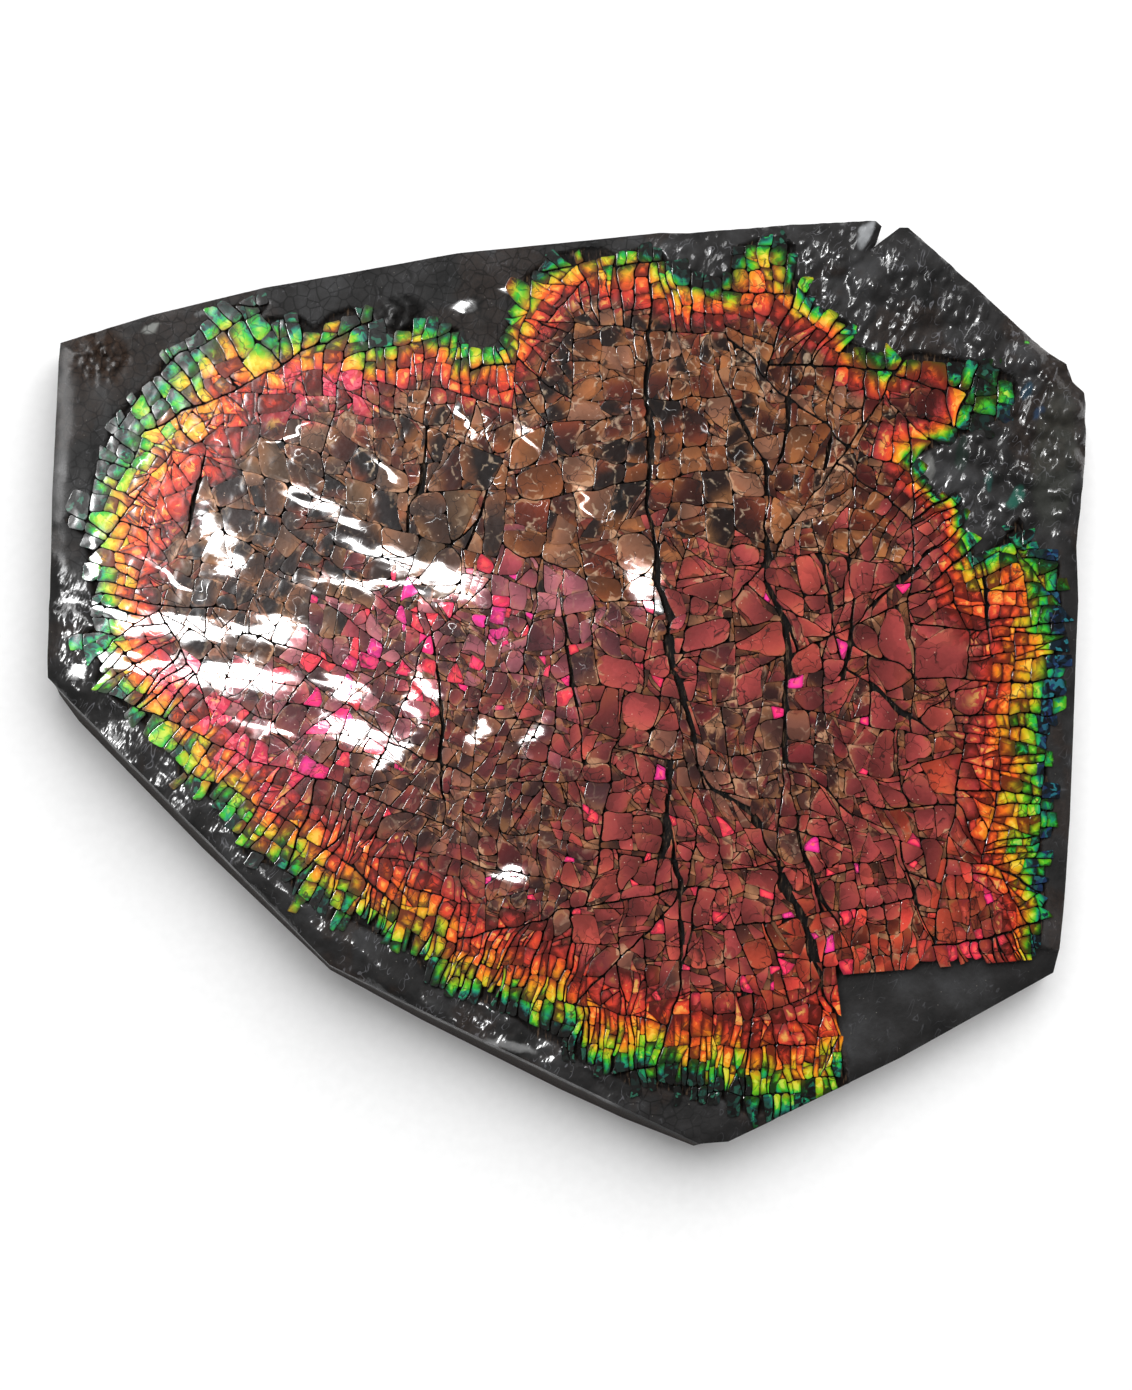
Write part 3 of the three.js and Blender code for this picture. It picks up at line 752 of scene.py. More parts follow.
def crazed(blank):
    """Breaks a blank over and over until its parts are as big as the plates are there: near the rim first
    into long columns, and elsewhere across the longer way."""
    waiting, plates = [blank], []
    while waiting:
        part = waiting.pop()
        cx, cy = centre_of(part)
        heading = at(heading_map, cx, cy)
        (a0, a1), (c0, c1) = extents(part, heading)
        if at(shell_grid, cx, cy) < -(a1 - a0 + c1 - c0) / 2 - 2:
            continue
        limit = rng.uniform(1.0, 1.75)
        length = (a1 - a0) / (at(length_map, cx, cy) * limit)
        width = (c1 - c0) / (at(width_map, cx, cy) * limit)
        if max(length, width) < 1:
            plates.append(part)
            continue
        columns = at(rim_share, cx, cy) > 0.4 and width > 1 and a1 - a0 < 9
        irregular = 0.13 + 0.08 * (1 - at(rim_share, cx, cy))
        if columns or width >= length:
            a, c = (a0 + a1) / 2, c0 + (c1 - c0) * rng.uniform(0.38, 0.62)
            cut, reach = heading + rng.normal(0, irregular), a1 - a0
        else:
            a, c = a0 + (a1 - a0) * rng.uniform(0.38, 0.62), (c0 + c1) / 2
            cut, reach = heading + math.pi / 2 + rng.normal(0, irregular), c1 - c0
        point = (a * math.cos(heading) - c * math.sin(heading), a * math.sin(heading) + c * math.cos(heading))
        gap = crack(reach, at(open_map, cx, cy))
        waiting += [half for half in split(part, point, cut, gap) if half]
    return plates


def crosses(plate, a, b):
    """Whether the stretch from a to b runs through a convex plate."""
    enter, leave = 0.0, 1.0
    turn = turn_of(plate)
    for p, q in zip(plate, plate[1:] + plate[:1]):
        nx, ny = (q[1] - p[1], p[0] - q[0]) if turn > 0 else (p[1] - q[1], q[0] - p[0])
        start = (a[0] - p[0]) * nx + (a[1] - p[1]) * ny
        change = (b[0] - a[0]) * nx + (b[1] - a[1]) * ny
        if abs(change) < 1e-12:
            if start > 0:
                return False
        elif change > 0:
            leave = min(leave, -start / change)
        else:
            enter = max(enter, -start / change)
    return (leave - enter) * math.dist(a, b) > 0.12


def opened(plates, width, route):
    """Runs an open crack along a route through the plates, widest at its middle."""
    total = sum(math.dist(a, b) for a, b in zip(route[:-1], route[1:]))
    travelled = 0.0
    for a, b in zip(route[:-1], route[1:]):
        length = math.dist(a, b)
        heading = math.atan2(b[1] - a[1], b[0] - a[0])
        low = (min(a[0], b[0]) - 6, min(a[1], b[1]) - 6)
        high = (max(a[0], b[0]) + 6, max(a[1], b[1]) + 6)
        parted = []
        for plate in plates:
            cx, cy = centre_of(plate)
            near = low[0] < cx < high[0] and low[1] < cy < high[1]
            if near and crosses(plate, a, b):
                step = ((cx - a[0]) * (b[0] - a[0]) + (cy - a[1]) * (b[1] - a[1])) / length
                share = min(max((travelled + step) / total, 0.03), 0.97)
                half = width * 0.43 * math.sin(math.pi * share) ** 0.6
                for part in split(plate, a, heading, half * rng.uniform(0.25, 1.3)):
                    if part and area_of(part) > CRUMB_MM2:
                        parted.append(part)
            else:
                parted.append(plate)
        plates = parted
        travelled += length
    return plates


def chipped(plate):
    """Breaks slivers off the corners and sides of a broad plate."""
    slivers = []
    closed = at(open_map, *centre_of(plate)) < 0.5
    for _ in range(rng.integers(0, 3) if closed else rng.integers(1, 5)):
        i = rng.integers(len(plate))
        p, q = plate[i], plate[(i + 1) % len(plate)]
        at_corner = rng.random() < 0.6
        way = 0.0 if at_corner else rng.uniform(0.3, 0.7)
        start = (p[0] + (q[0] - p[0]) * way, p[1] + (q[1] - p[1]) * way)
        cx, cy = centre_of(plate)
        inner = math.dist(start, (cx, cy))
        if inner < 0.8:
            continue
        inward = min(rng.uniform(0.5, 1.2) if at_corner else rng.uniform(0.3, 0.8), inner * 0.5) / inner
        point = (start[0] + (cx - start[0]) * inward, start[1] + (cy - start[1]) * inward)
        if at_corner:
            heading = math.atan2(cy - p[1], cx - p[0]) + math.pi / 2 + rng.normal(0, 0.45)
        else:
            heading = math.atan2(q[1] - p[1], q[0] - p[0]) + rng.normal(0, 0.4)
        halves = [half for half in split(plate, point, heading, rng.choice([CLOSED_MM, 0.02, 0.05])) if half]
        halves.sort(key=area_of)
        if len(halves) == 2 and area_of(halves[1]) > 1.6:
            slivers.append(halves[0])
            plate = halves[1]
    pieces = []
    for sliver in slivers:
        (a0, a1), (c0, c1) = extents(sliver, 0)
        across = math.atan2(c1 - c0, a1 - a0) + math.pi / 2 + rng.normal(0, 0.5)
        if max(a1 - a0, c1 - c0) > 1.5:
            pieces += [half for half in split(sliver, centre_of(sliver), across, 0.02) if half]
        else:
            pieces.append(sliver)
    return [(plate, "plate")] + [(piece, "sliver") for piece in pieces]


def shrunk(plate):
    """A plate with each side moved in by half the width of the crack along it."""
    if turn_of(plate) < 0:
        plate = [(p[0], p[1], before[2]) for p, before in zip(plate, plate[-1:] + plate[:-1])][::-1]
    kept = plate
    for p, q in zip(plate, plate[1:] + plate[:1]):
        length = math.dist(p[:2], q[:2])
        if length > 1e-6 and kept:
            nx, ny = -(q[1] - p[1]) / length, (q[0] - p[0]) / length
            point = (p[0] + nx * p[2], p[1] + ny * p[2])
            kept = split(kept, point, math.atan2(q[1] - p[1], q[0] - p[0]))[0]
    return kept


def softened(plate, corner, passes, step):
    """A plate's outline with its corners cut off and its long sides divided."""
    outline = [p[:2] for p in plate]
    for reach in (corner, corner * 0.4)[:passes]:
        rounded = []
        for before, p, after in zip(outline[-1:] + outline[:-1], outline, outline[1:] + outline[:1]):
            for other in (before, after):
                share = min(reach / max(math.dist(p, other), 1e-6), 0.3)
                rounded.append((p[0] + (other[0] - p[0]) * share, p[1] + (other[1] - p[1]) * share))
        outline = rounded
    divided = []
    for p, q in zip(outline, outline[1:] + outline[:1]):
        count = max(1, round(math.dist(p, q) / step))
        along = (q[0] - p[0], q[1] - p[1])
        divided += [(p[0] + along[0] * i / count, p[1] + along[1] * i / count) for i in range(count)]
    return np.array(divided)


def warped(place):
    """Bends the straight cracks into natural ones."""
    px, py = place.T
    dx = 0.6 * rough(px, py, 9, 41) + 0.38 * rough(px, py, 2.8, 42) + 0.15 * rough(px, py, 1.0, 43)
    dy = 0.6 * rough(px, py, 9, 44) + 0.38 * rough(px, py, 2.8, 45) + 0.15 * rough(px, py, 1.0, 46)
    return np.column_stack([px + dx, py + dy])


# A blank that reaches past the sheet is crazed, the open cracks run through it, and broad plates are chipped
plates = crazed([(-60, -53, 0), (60, -53, 0), (60, 53, 0), (-60, 53, 0)])
for width, route in FISSURES:
    plates = opened(plates, width, route)
broken = []
for plate in plates:
    cx, cy = centre_of(plate)
    if area_of(plate) > 3 and at(rim_grid, cx, cy) > 5:
        broken += chipped(plate)
    else:
        broken.append((plate, "rim" if at(rim_grid, cx, cy) < 8 else "plate"))

ENDS = [  # where the sheet ends at the saw cut and at the two sides of the chip, with the sheet on the left
    ((17.7, -50.2), (36.6, -41.1)), ((31.2, -46), (29.5, -31.9)), ((29.5, -32), (53, -30.2)),
]


def ended(outline):
    """An outline without what would stand past the sheet's ends, or None where little is left."""
    saw, chip_left, chip_top = ENDS
    cx, cy = centre_of([tuple(p) for p in outline])
    ends = [saw] if cy < -38 else []
    ends += [chip_left] if cx < 30 and cy < -32 else [chip_top] if cx >= 30 else []
    kept = [(px, py, 0) for px, py in outline]
    for a, b in ends:
        if kept:
            kept = split(kept, a, math.atan2(b[1] - a[1], b[0] - a[0]))[0]
    return np.array([p[:2] for p in kept]) if kept and area_of(kept) > CRUMB_MM2 else None


COMPACT = 0.62  # a plate that isn't spiky


def compactness(outline, area):
    """1 for a round outline and less for a long or spiky one."""
    return 4 * math.pi * area / np.hypot(*(outline - np.roll(outline, 1, axis=0)).T).sum() ** 2


outlines, kinds = [], []
for plate, kind in broken:
    plate = shrunk(plate)
    if not plate or area_of(plate) < CRUMB_MM2:
        continue
    size = math.sqrt(area_of(plate))
    broad = size > 1.7
    outline = softened(plate, size * rng.uniform(0.05, 0.17), 2 if broad else 1, 0.5 if broad else 0.7)
    outline = warped(outline)
    if outline[:, 0].max() > 17 and outline[:, 1].min() < -28:
        outline = ended(outline)
        if outline is None:
            continue
    outlines.append(outline)
    kinds.append(kind)
corners = np.concatenate(outlines)
starts = np.cumsum([0] + [len(outline) for outline in outlines])
room = depth_inside(corners[:, 0], corners[:, 1], face_outline)
middles = np.array([outline.mean(axis=0) for outline in outlines])
areas = np.array([area_of([tuple(p) for p in outline]) for outline in outlines])
compact = np.array([compactness(outline, area) for outline, area in zip(outlines, areas)])
shell_depth = depth_inside(middles[:, 0], middles[:, 1], SHELL_OUTLINE)
# A spiky plate stays only well inside the sheet, and none reaches past the slab's edge
kept = []
for i, (cx, cy) in enumerate(middles):
    spare = room[starts[i]:starts[i + 1]].min()
    at_saw = cx > 20 and cy < -41
    at_chip = cx > 27 and cy < -28
    least = -0.3 if compact[i] > COMPACT or at_chip else 0.4 if compact[i] > 0.45 else 1.2
    if shell_depth[i] > least and (spare > 0.25 or at_saw and spare > 0.02):
        kept.append(i)
outlines = [outlines[i] for i in kept]
kinds = np.array([kinds[i] for i in kept])
middles, areas, compact = middles[kept], areas[kept], compact[kept]
n = len(kept)

names = list(FINISHES)
spot_name = np.array([names.index(s[5]) for s in PLATES])
colours, finish, ember = np.zeros((n, 4)), np.zeros(n, int), np.zeros(n)
for i, (cx, cy) in enumerate(middles):
    weights = at(plate_weight, cx, cy) ** 0.8
    weights = np.where(weights > weights.max() * 0.2, weights, 0)
    finish[i] = spot_name[rng.choice(len(PLATES), p=weights / weights.sum())]
    name = names[finish[i]]
    shades = SLIVERS if kinds[i] == "sliver" and rng.random() < 0.5 else FINISHES[name].colours
    largest = 3.6 if name == "fiery" else 2.2
    if 0.3 < areas[i] < largest and compact[i] > COMPACT and rng.random() < FINISHES[name].embers * 1.4:
        shades = EMBERS
        ember[i] = rng.uniform(0.35, 1.0) if name == "fiery" else 1.0
    elif name == "glowing" and cx > 38 and rng.random() < 0.4:
        ember[i] = 0.5
    colours[i] = linear(shades[rng.integers(len(shades))])
    colours[i, :3] *= rng.uniform(0.8, 1.15)
lift = rng.normal(0, 0.02, n) - 0.12 * (kinds == "sliver") * rng.random(n)
lean = rng.normal(0, 1, (n, 2)) * np.where(kinds == "sliver", 0.05, 0.012)[:, None]
# The side each plate is painted brighter on by painted light, and how lit each tile is painted; flash also
# picks random colours and shapes
glow_way = rng.uniform(0, 2 * math.pi, n)
flash = rng.random(n)
own_finishes = [FINISHES[names[k]] for k in finish]
round_top = flash < np.where(kinds == "rim", 0.5, [own.domed for own in own_finishes])
clouded = np.array([own.clouded for own in own_finishes])
uneven = np.clip([own.domed * 1.4 - 0.1 for own in own_finishes], 0, 1)
uneven = np.where(kinds == "rim", 0.35, uneven)
PLATE_FOOT_MM = 0.55  # how far down the plates' sides reach
ROUND_EDGE_MM = (0.10, 0.035)  # how far in and how far down the bevel of a domed plate goes
SHARP_EDGE_MM = (0.035, 0.05)


def drawn_in(outline, inset):
    """An outline moved in by about the same distance on every side."""
    middle = outline.mean(axis=0)
    spread = outline - middle
    axes = np.linalg.eigh(spread.T @ spread)[1]
    local = spread @ axes
    reach = np.abs(local).max(axis=0)
    return middle + (local * np.clip(1 - inset / reach, 0.35, 1)) @ axes.T


def mosaic(name, members):
    """A piece from some of the plates, each a prism with a bevelled top that follows the specimen's face."""
    places, heights, owners, faces, edge, inward = [], [], [], [], [], []
    start = 0
    for i in members:
        outline = outlines[i]
        inset, drop = ROUND_EDGE_MM if round_top[i] else SHARP_EDGE_MM
        inner = drawn_in(outline, inset)
        count = len(outline)
        middle = outline.mean(axis=0)
        reach = np.hypot(*(outline - middle).T).min()
        places += [outline, outline, inner, middle[None]]
        heights += [np.full(count, -PLATE_FOOT_MM), np.full(count, -drop), np.zeros(count), [0.0]]
        edge += [np.zeros(2 * count), np.full(count, inset), [reach]]
        inward += [np.zeros(2 * count), np.full(count, min(inset / reach, 1)), [1.0]]
        owners += [i] * (3 * count + 1)
        for ring in (0, 1):
            for k in range(count):
                a, b = start + ring * count + k, start + ring * count + (k + 1) % count
                faces.append((a, b, b + count, a + count))
        top = start + 2 * count
        faces += [(top + k, top + (k + 1) % count, top + count) for k in range(count)]
        start += 3 * count + 1
    place, height, owners = np.concatenate(places), np.concatenate(heights), np.array(owners)
    offset = place - middles[owners]
    px, py = place.T
    height = height + face_height(px, py) + lift[owners] + (offset * lean[owners]).sum(axis=1)
    piece = new_piece(name, np.column_stack([place, height]), faces)
    bpy.ops.object.shade_smooth_by_angle(angle=math.radians(40))
    column = np.clip(np.round(px + GRID_HALF_MM[0]).astype(int), 0, 2 * GRID_HALF_MM[0])
    row = np.clip(np.round(py + GRID_HALF_MM[1]).astype(int), 0, 2 * GRID_HALF_MM[1])
    worn = worn_map[column, row]
    depth = (distance_to_path(px, py, RAINBOW_RIM) / band_map[column, row] - worn) / (1 - worn)
    wobble = 0.09 * rough(px, py, 3.2, 51) + 0.05 * rough(px, py, 1.4, 52)
    own = (flash * 7919 % 1 - 0.5)[owners] * 0.3
    way = np.column_stack([np.cos(glow_way), np.sin(glow_way)])[owners]
    store(piece, "rim_depth", depth + wobble + own)
    store(piece, "plate_colour", colours[owners], "FLOAT_COLOR")
    store(piece, "ember", ember[owners])
    # flash and glow carry the painted light of each tile and plate to the material
    store(piece, "flash", flash[owners])
    store(piece, "glow", (offset * way).sum(axis=1) / np.sqrt(areas[owners]))
    right, upper_tongue = ease(50, 53, px) * (1 - ease(14, 22, py)), ease(47, 50, px) * ease(26, 32, py)
    store(piece, "blue", right + 0.7 * upper_tongue)
    left, upper_left = mound(away_from(px, py, (-37, -4)), 15), mound(away_from(px, py, (-26, 34)), 10)
    store(piece, "pink", np.maximum(left, 0.8 * upper_left))
    store(piece, "edge", np.concatenate(edge))
    store(piece, "inward", np.concatenate(inward))
    store(piece, "cloudy", clouded[owners])
    store(piece, "uneven", uneven[owners])
    return piece


sheet_pieces = [
    mosaic("rim_columns", np.flatnonzero(kinds == "rim")),
    mosaic("crazed_plates", np.flatnonzero(kinds == "plate")),
    mosaic("loose_slivers", np.flatnonzero(kinds == "sliver")),
]

# Cracked nacre: thin films of aragonite that mirror one colour each, from blue at the worn rim to red where
# it is thickest, over brown translucent shell. Small facets are painted brighter than their neighbours, as
# painted flashes of light.
nacre, tree = new_material("cracked_nacre")
place = node(tree, "ShaderNodeTexCoord").outputs["Object"]
plate_colour = attribute(tree, "plate_colour", "Color")
flash_here = attribute(tree, "flash")
glow_here = attribute(tree, "glow")
inward_here = attribute(tree, "inward")
cloudy_here = attribute(tree, "cloudy")
uneven_here = attribute(tree, "uneven")
bent = vectors(tree, "MULTIPLY_ADD", shaking(tree, place, 1.6, 2), (2.2 * MM, 2.2 * MM, 0), place)
facet = node(tree, "ShaderNodeSeparateColor", Color=cells(tree, bent, 0.55, "Color")).outputs
patch = node(tree, "ShaderNodeSeparateColor", Color=cells(tree, bent, 2.4, "Color")).outputs
clouds = noise(tree, place, 1.4, 3, Distortion=0.8)

# The rim's films, with painted light: a lit tile gets a painted highlight at its middle and to one side, and
# the others get painted shade
uneven_depth = maths(tree, "MULTIPLY_ADD", facet[0], 0.08, -0.04)
depth_here = maths(tree, "ADD", attribute(tree, "rim_depth"), uneven_depth)
rainbow = ramp(tree, maths(tree, "MULTIPLY", depth_here, 0.8), [
    (0.00, "#182a2c"), (0.02, "#0e5a58"), (0.05, "#129864"), (0.09, "#22b02a"), (0.14, "#5eb60c"),
    (0.19, "#a2ba08"), (0.25, "#d0ae08"), (0.32, "#e88e08"), (0.42, "#ea5e10"), (0.56, "#d83a22"),
    (0.74, "#a03030"),
])
lit = maths(tree, "MULTIPLY_ADD", flash_here, 0.62, -0.1)
lit = maths(tree, "ADD", lit, maths(tree, "MULTIPLY", inward_here, 0.5))
lit = maths(tree, "ADD", lit, maths(tree, "MULTIPLY", glow_here, 0.25))
lit = maths(tree, "ADD", lit, maths(tree, "MULTIPLY_ADD", facet[1], 0.26, -0.04))
# A darker, browner copy of the rainbow: painted shade
shaded = blend(tree, 1.0, rainbow, linear("#8a6238"), "MULTIPLY")
shaded = blend(tree, 0.35, shaded, linear("#1e120b"))
rainbow = blend(tree, span(tree, lit, 0.22, 0.8), shaded, rainbow)
worn = ramp(tree, facet[1], [(0.2, "#100f0e"), (0.6, "#1a1b19"), (0.82, "#142c28"), (0.97, "#245c48")])
blues = ramp(tree, facet[2], [(0.2, "#0b1018"), (0.5, "#0f2430"), (0.75, "#1a3060"), (0.95, "#1c6a74")])
worn = blend(tree, attribute(tree, "blue"), worn, blues)
rainbow = blend(tree, span(tree, depth_here, -0.02, 0.05), worn, rainbow)
pinks = ramp(tree, facet[0], [(0.2, "#c02048"), (0.5, "#e8305a"), (0.9, "#ff6a80")])
pink_share = maths(tree, "MULTIPLY", attribute(tree, "pink"), span(tree, flash_here, 0.15, 0.5))
pink_share = maths(tree, "MULTIPLY", pink_share, span(tree, depth_here, 0.5, 0.75))
rainbow = blend(tree, pink_share, rainbow, pinks)
# Painted highlight: a pale yellow core screened onto the most lit tiles
painted_highlight = span(tree, maths(tree, "ADD", lit, maths(tree, "MULTIPLY", facet[2], 0.3)), 0.9, 1.25, 0.0, 0.42)
painted_highlight = maths(tree, "MULTIPLY", painted_highlight, span(tree, depth_here, 0.06, 0.14))
rainbow = blend(tree, painted_highlight, rainbow, linear("#ffdc60"), "SCREEN")

# The middle: translucent plates, amber to one side and paler there from painted light, with crescents of tan
# where the shell beneath shows through near their edges
# Painted light: each plate brighter towards one side, with some random tone
glowing = maths(tree, "MULTIPLY", glow_here, 0.75)
glowing = maths(tree, "ADD", glowing, maths(tree, "MULTIPLY", patch[0], 0.35))
glowing = maths(tree, "ADD", glowing, maths(tree, "MULTIPLY", noise(tree, place, 0.4, 3), 0.3))
body = blend(tree, 1.0, plate_colour, span(tree, glowing, -0.2, 1.0, 0.5, 1.42), "MULTIPLY")
amber = maths(tree, "ADD", glow_here, maths(tree, "MULTIPLY", clouds, 0.5))
amber = maths(tree, "MULTIPLY", span(tree, amber, 0.25, 0.9), cloudy_here)
ambers = ramp(tree, flash_here, [(0.2, "#8c4e1c"), (0.5, "#a0703e"), (0.8, "#883c1c")])
body = blend(tree, amber, body, ambers)
near_edge = maths(tree, "MULTIPLY_ADD", clouds, 1.6, -0.62)
near_edge = maths(tree, "SUBTRACT", near_edge, attribute(tree, "edge"))
near_edge = maths(tree, "ADD", near_edge, maths(tree, "MULTIPLY_ADD", cloudy_here, 0.5, -0.25))
tan = maths(tree, "MULTIPLY", span(tree, near_edge, -0.1, 0.1), span(tree, patch[1], 0.4, 0.7, 0.95, 0.1))
tan = maths(tree, "MULTIPLY", tan, span(tree, glow_here, -0.15, 0.3, 0.25, 1.0))
tans = ramp(tree, patch[2], [(0.1, "#542814"), (0.4, "#8a542c"), (0.7, "#c09270"), (0.95, "#742a1c")])
body = blend(tree, maths(tree, "MULTIPLY", tan, 0.82), body, tans)
dark = maths(tree, "MULTIPLY", span(tree, patch[2], 0.7, 0.85, 0.0, 0.5), span(tree, cloudy_here, 0.2, 0.7))
body = blend(tree, dark, body, linear("#24130f"))
# Painted highlights: pale lines along cell edges on the clouded plates
painted_edge_highlights = span(tree, cells(tree, bent, 2.4, feature="DISTANCE_TO_EDGE"), 0.0, 0.08, 0.35, 0.0)
painted_edge_highlights = maths(tree, "MULTIPLY", painted_edge_highlights, span(tree, cloudy_here, 0.25, 0.6))
painted_edge_highlights = maths(tree, "MULTIPLY", painted_edge_highlights, span(tree, clouds, 0.5, 0.62))
body = blend(tree, painted_edge_highlights, body, linear("#e0c4a4"))
# Painted highlights: small pale specks
body = blend(tree, span(tree, cells(tree, place, 0.8), 0.06, 0.1, 0.5, 0.0), body, linear("#e0c0a8"))

# Embers: hot pink or red plates with painted light: painted shade towards their edges and a painted highlight
# at their middles
ember_edge_shade = blend(tree, 0.6, plate_colour, linear("#701830"))
ember_painted_light = blend(tree, span(tree, inward_here, 0.0, 0.6), ember_edge_shade, plate_colour)
ember_core_highlight = maths(tree, "MULTIPLY", span(tree, inward_here, 0.3, 1.0), facet[1])
ember_painted_light = blend(tree, ember_core_highlight, ember_painted_light, linear("#ff6a58"))
ember_painted_light = blend(tree, span(tree, facet[2], 0.6, 0.8, 0.0, 0.55), ember_painted_light, linear("#701c30"))
body = blend(tree, attribute(tree, "ember"), body, ember_painted_light)

colour = blend(tree, span(tree, depth_here, 0.88, 1.15), rainbow, body)
seams = span(tree, cells(tree, bent, 1.6, feature="DISTANCE_TO_EDGE"), 0.0, 0.04, 0.85, 0.0)
hairlines = maths(tree, "MULTIPLY", seams, span(tree, noise(tree, place, 3, 2), 0.46, 0.54))
colour = blend(tree, hairlines, colour, linear("#1c100e"))

# The varnish has levelled over the cracks, so it mirrors the lamp as one surface: nearly flat, but for
# wrinkles at the left whose bright sides face GLARE_MM. A wrinkle has a middle, a heading, and half its
# length and width in mm.
WRINKLES = [
    (-27, 19.7, -27, 5, 0.5), (-18, 13.5, -17, 7, 1.0), (-20.5, 11, -2, 8.5, 0.7),
    (-12.5, 10.6, -10, 3.4, 1.9), (-38.2, 16, -62, 4, 1.1), (-37, 13.2, 0, 1.8, 1.4),
    (-50, 7.8, -18, 5, 0.8), (-40, 6, -3, 10, 1.0), (-33, 5.6, 0, 4, 1.4), (-48, 2.2, 8, 7, 0.8),
    (-37, 0.8, -3, 7.5, 1.7), (-25, -0.5, -20, 3, 0.7), (-23, -5.2, -10, 4.5, 1.5),
    (-19.5, -7.5, 30, 3, 0.8), (-15.5, 0.2, -60, 2.4, 0.9), (-17, -3, -70, 2.5, 0.7),
    (-3.7, -5.9, 40, 1.6, 0.9), (-9.8, -5.4, 60, 2, 0.7), (-6.5, -20.9, 10, 2, 1.0),
    (8.5, 10.8, -60, 3.2, 1.5), (-11.5, 29, -70, 2.6, 0.4), (-4.5, 27.5, -50, 2, 0.35),
    (-20, 24, -40, 2.4, 0.35), (-33, -5, -20, 3.5, 0.5), (-52.5, 13.5, 80, 3.5, 0.5),
    (-31, 27, 30, 2.5, 0.3), (-44, 12, -30, 3, 0.35), (2, 20, -60, 1.8, 0.3),
]
wrinkled = wrinkled_at(tree, place, WRINKLES, 1.6)
near_glare = span(tree, wrinkled, 0.04, 0.3)
some_plates = node(tree, "ShaderNodeSeparateColor", Color=noise(tree, place, 2.6, 1, "Color")).outputs[0]
curved = maths(tree, "MULTIPLY", span(tree, some_plates, 0.54, 0.64), span(tree, uneven_here, 0.3, 0.5))
curves = maths(tree, "ADD", noise(tree, place, 2.3, 1.0, Distortion=0.7), 0.1)
curves = span(tree, maths(tree, "PINGPONG", curves, 0.15), 0.0, 0.022, 0.9, 0.0)
curves = maths(tree, "MULTIPLY", curves, maths(tree, "MAXIMUM", near_glare, curved))
lean_here = maths(tree, "MAXIMUM", span(tree, wrinkled, 0.12, 0.58), curves)
towards = leaning_to_glare(tree, place)
tilt = vectors(tree, "SCALE", towards, Scale=lean_here)
sway = vectors(tree, "MULTIPLY_ADD", shaking(tree, place, 5, 2), (0.05, 0.05, 0), (0, 0, 1))
curl = vectors(tree, "SCALE", shaking(tree, place, 1.3, 1), Scale=maths(tree, "MULTIPLY", lean_here, 0.15))
varnish = vectors(tree, "ADD", vectors(tree, "ADD", tilt, sway), curl)
own_face = node(tree, "ShaderNodeNewGeometry").outputs["Normal"]
varnish = between(tree, maths(tree, "MULTIPLY_ADD", uneven_here, 0.15, 0.12), varnish, own_face)
waves = maths(tree, "MULTIPLY", noise(tree, place, 1.9, 0.4, Distortion=0.6), uneven_here)
calm = maths(tree, "SUBTRACT", 1.0, lean_here)
varnish = node(tree, "ShaderNodeBump", Strength=calm, Distance=0.28 * MM, Height=waves, Normal=varnish)

# The nacre under it, whose duller shine spreads round the wrinkles as a halo
halo = vectors(tree, "SCALE", towards, Scale=span(tree, wrinkled, 0.0, 0.55))
halo = vectors(tree, "NORMALIZE", vectors(tree, "ADD", halo, (0, 0, 1)))
ripple = noise(tree, place, 0.7, 3)
bump = node(tree, "ShaderNodeBump", Strength=0.25, Distance=0.1 * MM, Height=ripple, Normal=halo)
shader = node(tree, "ShaderNodeBsdfPrincipled", Base_Color=colour, Metallic=0.1, Roughness=0.36,
              Specular_IOR_Level=0.2, Normal=bump.outputs[0], Coat_Weight=1.0, Coat_Roughness=0.14,
              Coat_Normal=varnish.outputs[0])
node(tree, "ShaderNodeOutputMaterial", Surface=shader.outputs[0])
for piece in sheet_pieces:
    piece.data.materials.append(nacre)
    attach(piece, "root")
    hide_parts("ammolite_sheet")

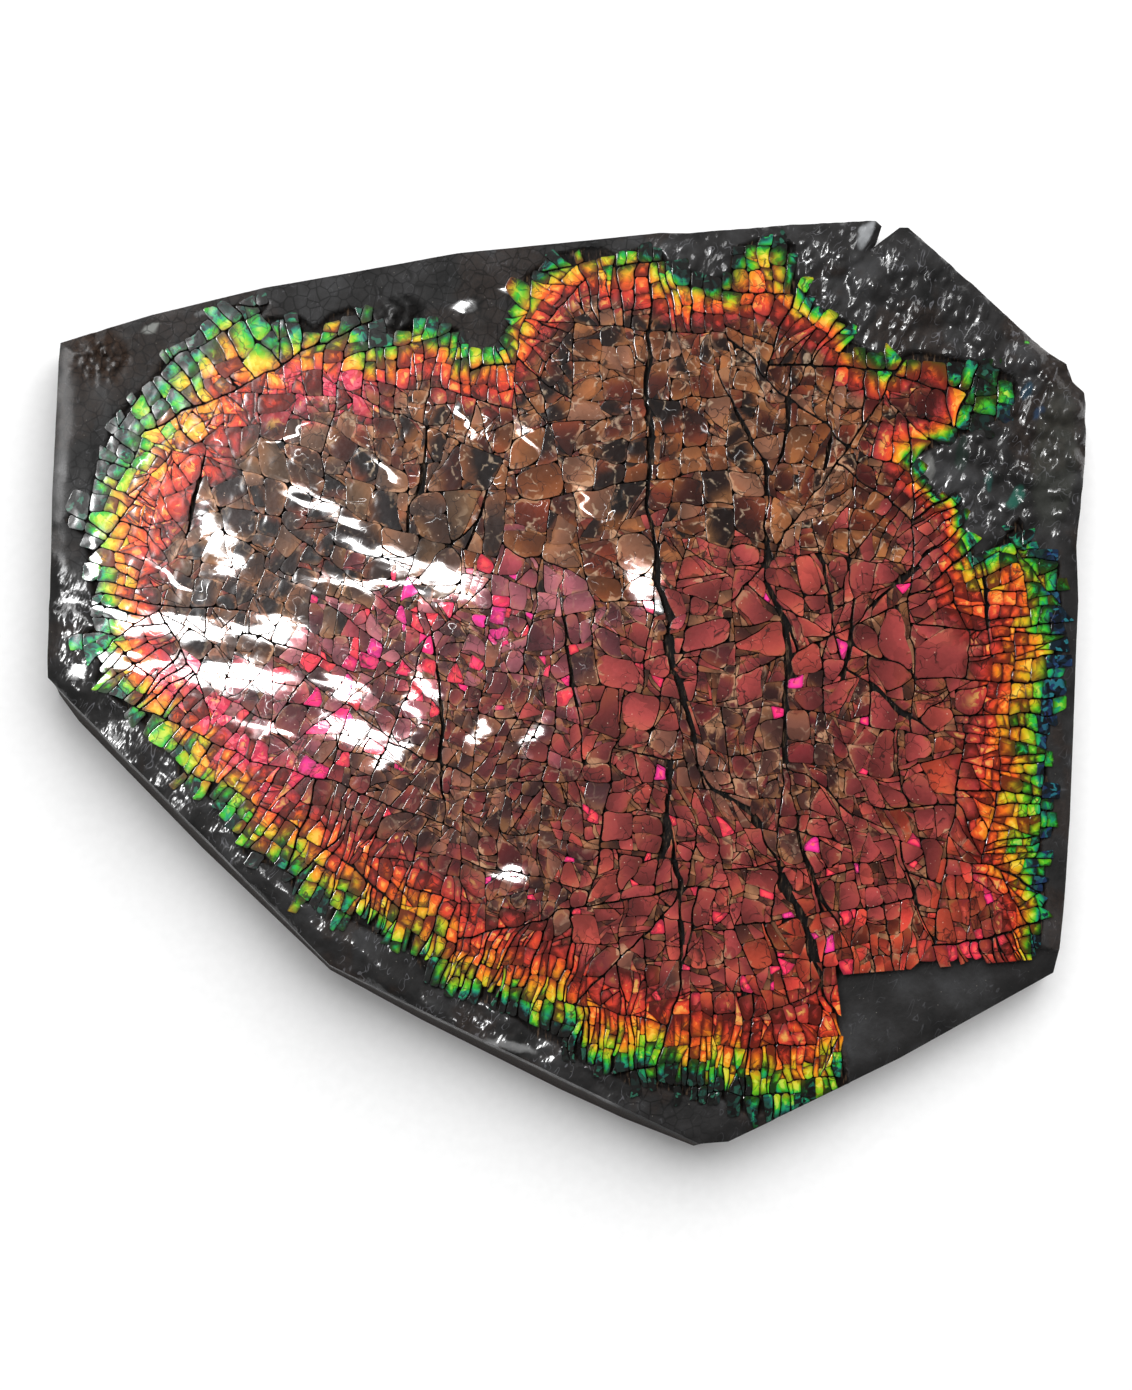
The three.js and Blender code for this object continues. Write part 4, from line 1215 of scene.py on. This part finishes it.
# --- Floor and light --------------------------------------------------------------------------------------
# A flat white sheet of paper in a white room. One broad softbox beyond the top edge lights the specimen and
# isn't mirrored; the varnish mirrors only the small lamps high above the left and the upper left.
FLOOR_SIZE = 2.4
FLOOR_GAP_MM = 0.02  # keeps the floor and the slab's back out of one plane
ROOM_LIGHT = 0.42

deselect_all()
bpy.ops.mesh.primitive_plane_add(size=FLOOR_SIZE, location=(0, 0, -FLOOR_GAP_MM * MM))
floor_sheet = bpy.context.object
floor_sheet.name = "paper_floor"
paper, tree = new_material("white_paper")
place = node(tree, "ShaderNodeTexCoord").outputs["Object"]
fibres = node(tree, "ShaderNodeTexNoise", Vector=place, Scale=900).outputs["Fac"]
white = ramp(tree, fibres, [(0.3, "#f4f4f4"), (0.7, "#f7f7f7")])
shader = node(tree, "ShaderNodeBsdfPrincipled", Base_Color=white, Roughness=0.9, Specular_IOR_Level=0.1)
node(tree, "ShaderNodeOutputMaterial", Surface=shader.outputs[0])
floor_sheet.data.materials.append(paper)


def softbox(name, place, size, power, mirrored):
    """A square lamp aimed at the middle of the specimen, which either lights it or is only seen mirrored."""
    bpy.ops.object.light_add(type="AREA", location=place)
    lamp = bpy.context.object
    lamp.name = name
    lamp.data.size = size
    lamp.data.energy = power
    lamp.visible_diffuse = not mirrored
    lamp.visible_glossy = mirrored
    lamp.rotation_mode = "QUATERNION"
    lamp.rotation_quaternion = (-Vector(place)).to_track_quat("-Z", "Y")


softbox("top_softbox", (0.22, 0.6, 0.7), 1.2, 15.5, False)
softbox("glare_lamp", (-0.21, 0.085, 0.43), 0.085, 1.7, True)
softbox("glare_fringe", (-0.21, 0.085, 0.4305), 0.17, 0.55, True)
softbox("glare_haze", (-0.21, 0.085, 0.431), 0.24, 0.1, True)
softbox("sparkle_lamp", (-0.25, 0.3, 0.5), 0.2, 1.5, True)
world = bpy.data.worlds.new("studio")
world.use_nodes = True
world.node_tree.nodes["Background"].inputs["Color"].default_value = (1, 1, 1, 1)
world.node_tree.nodes["Background"].inputs["Strength"].default_value = ROOM_LIGHT
world.cycles_visibility.glossy = False
bpy.context.scene.world = world
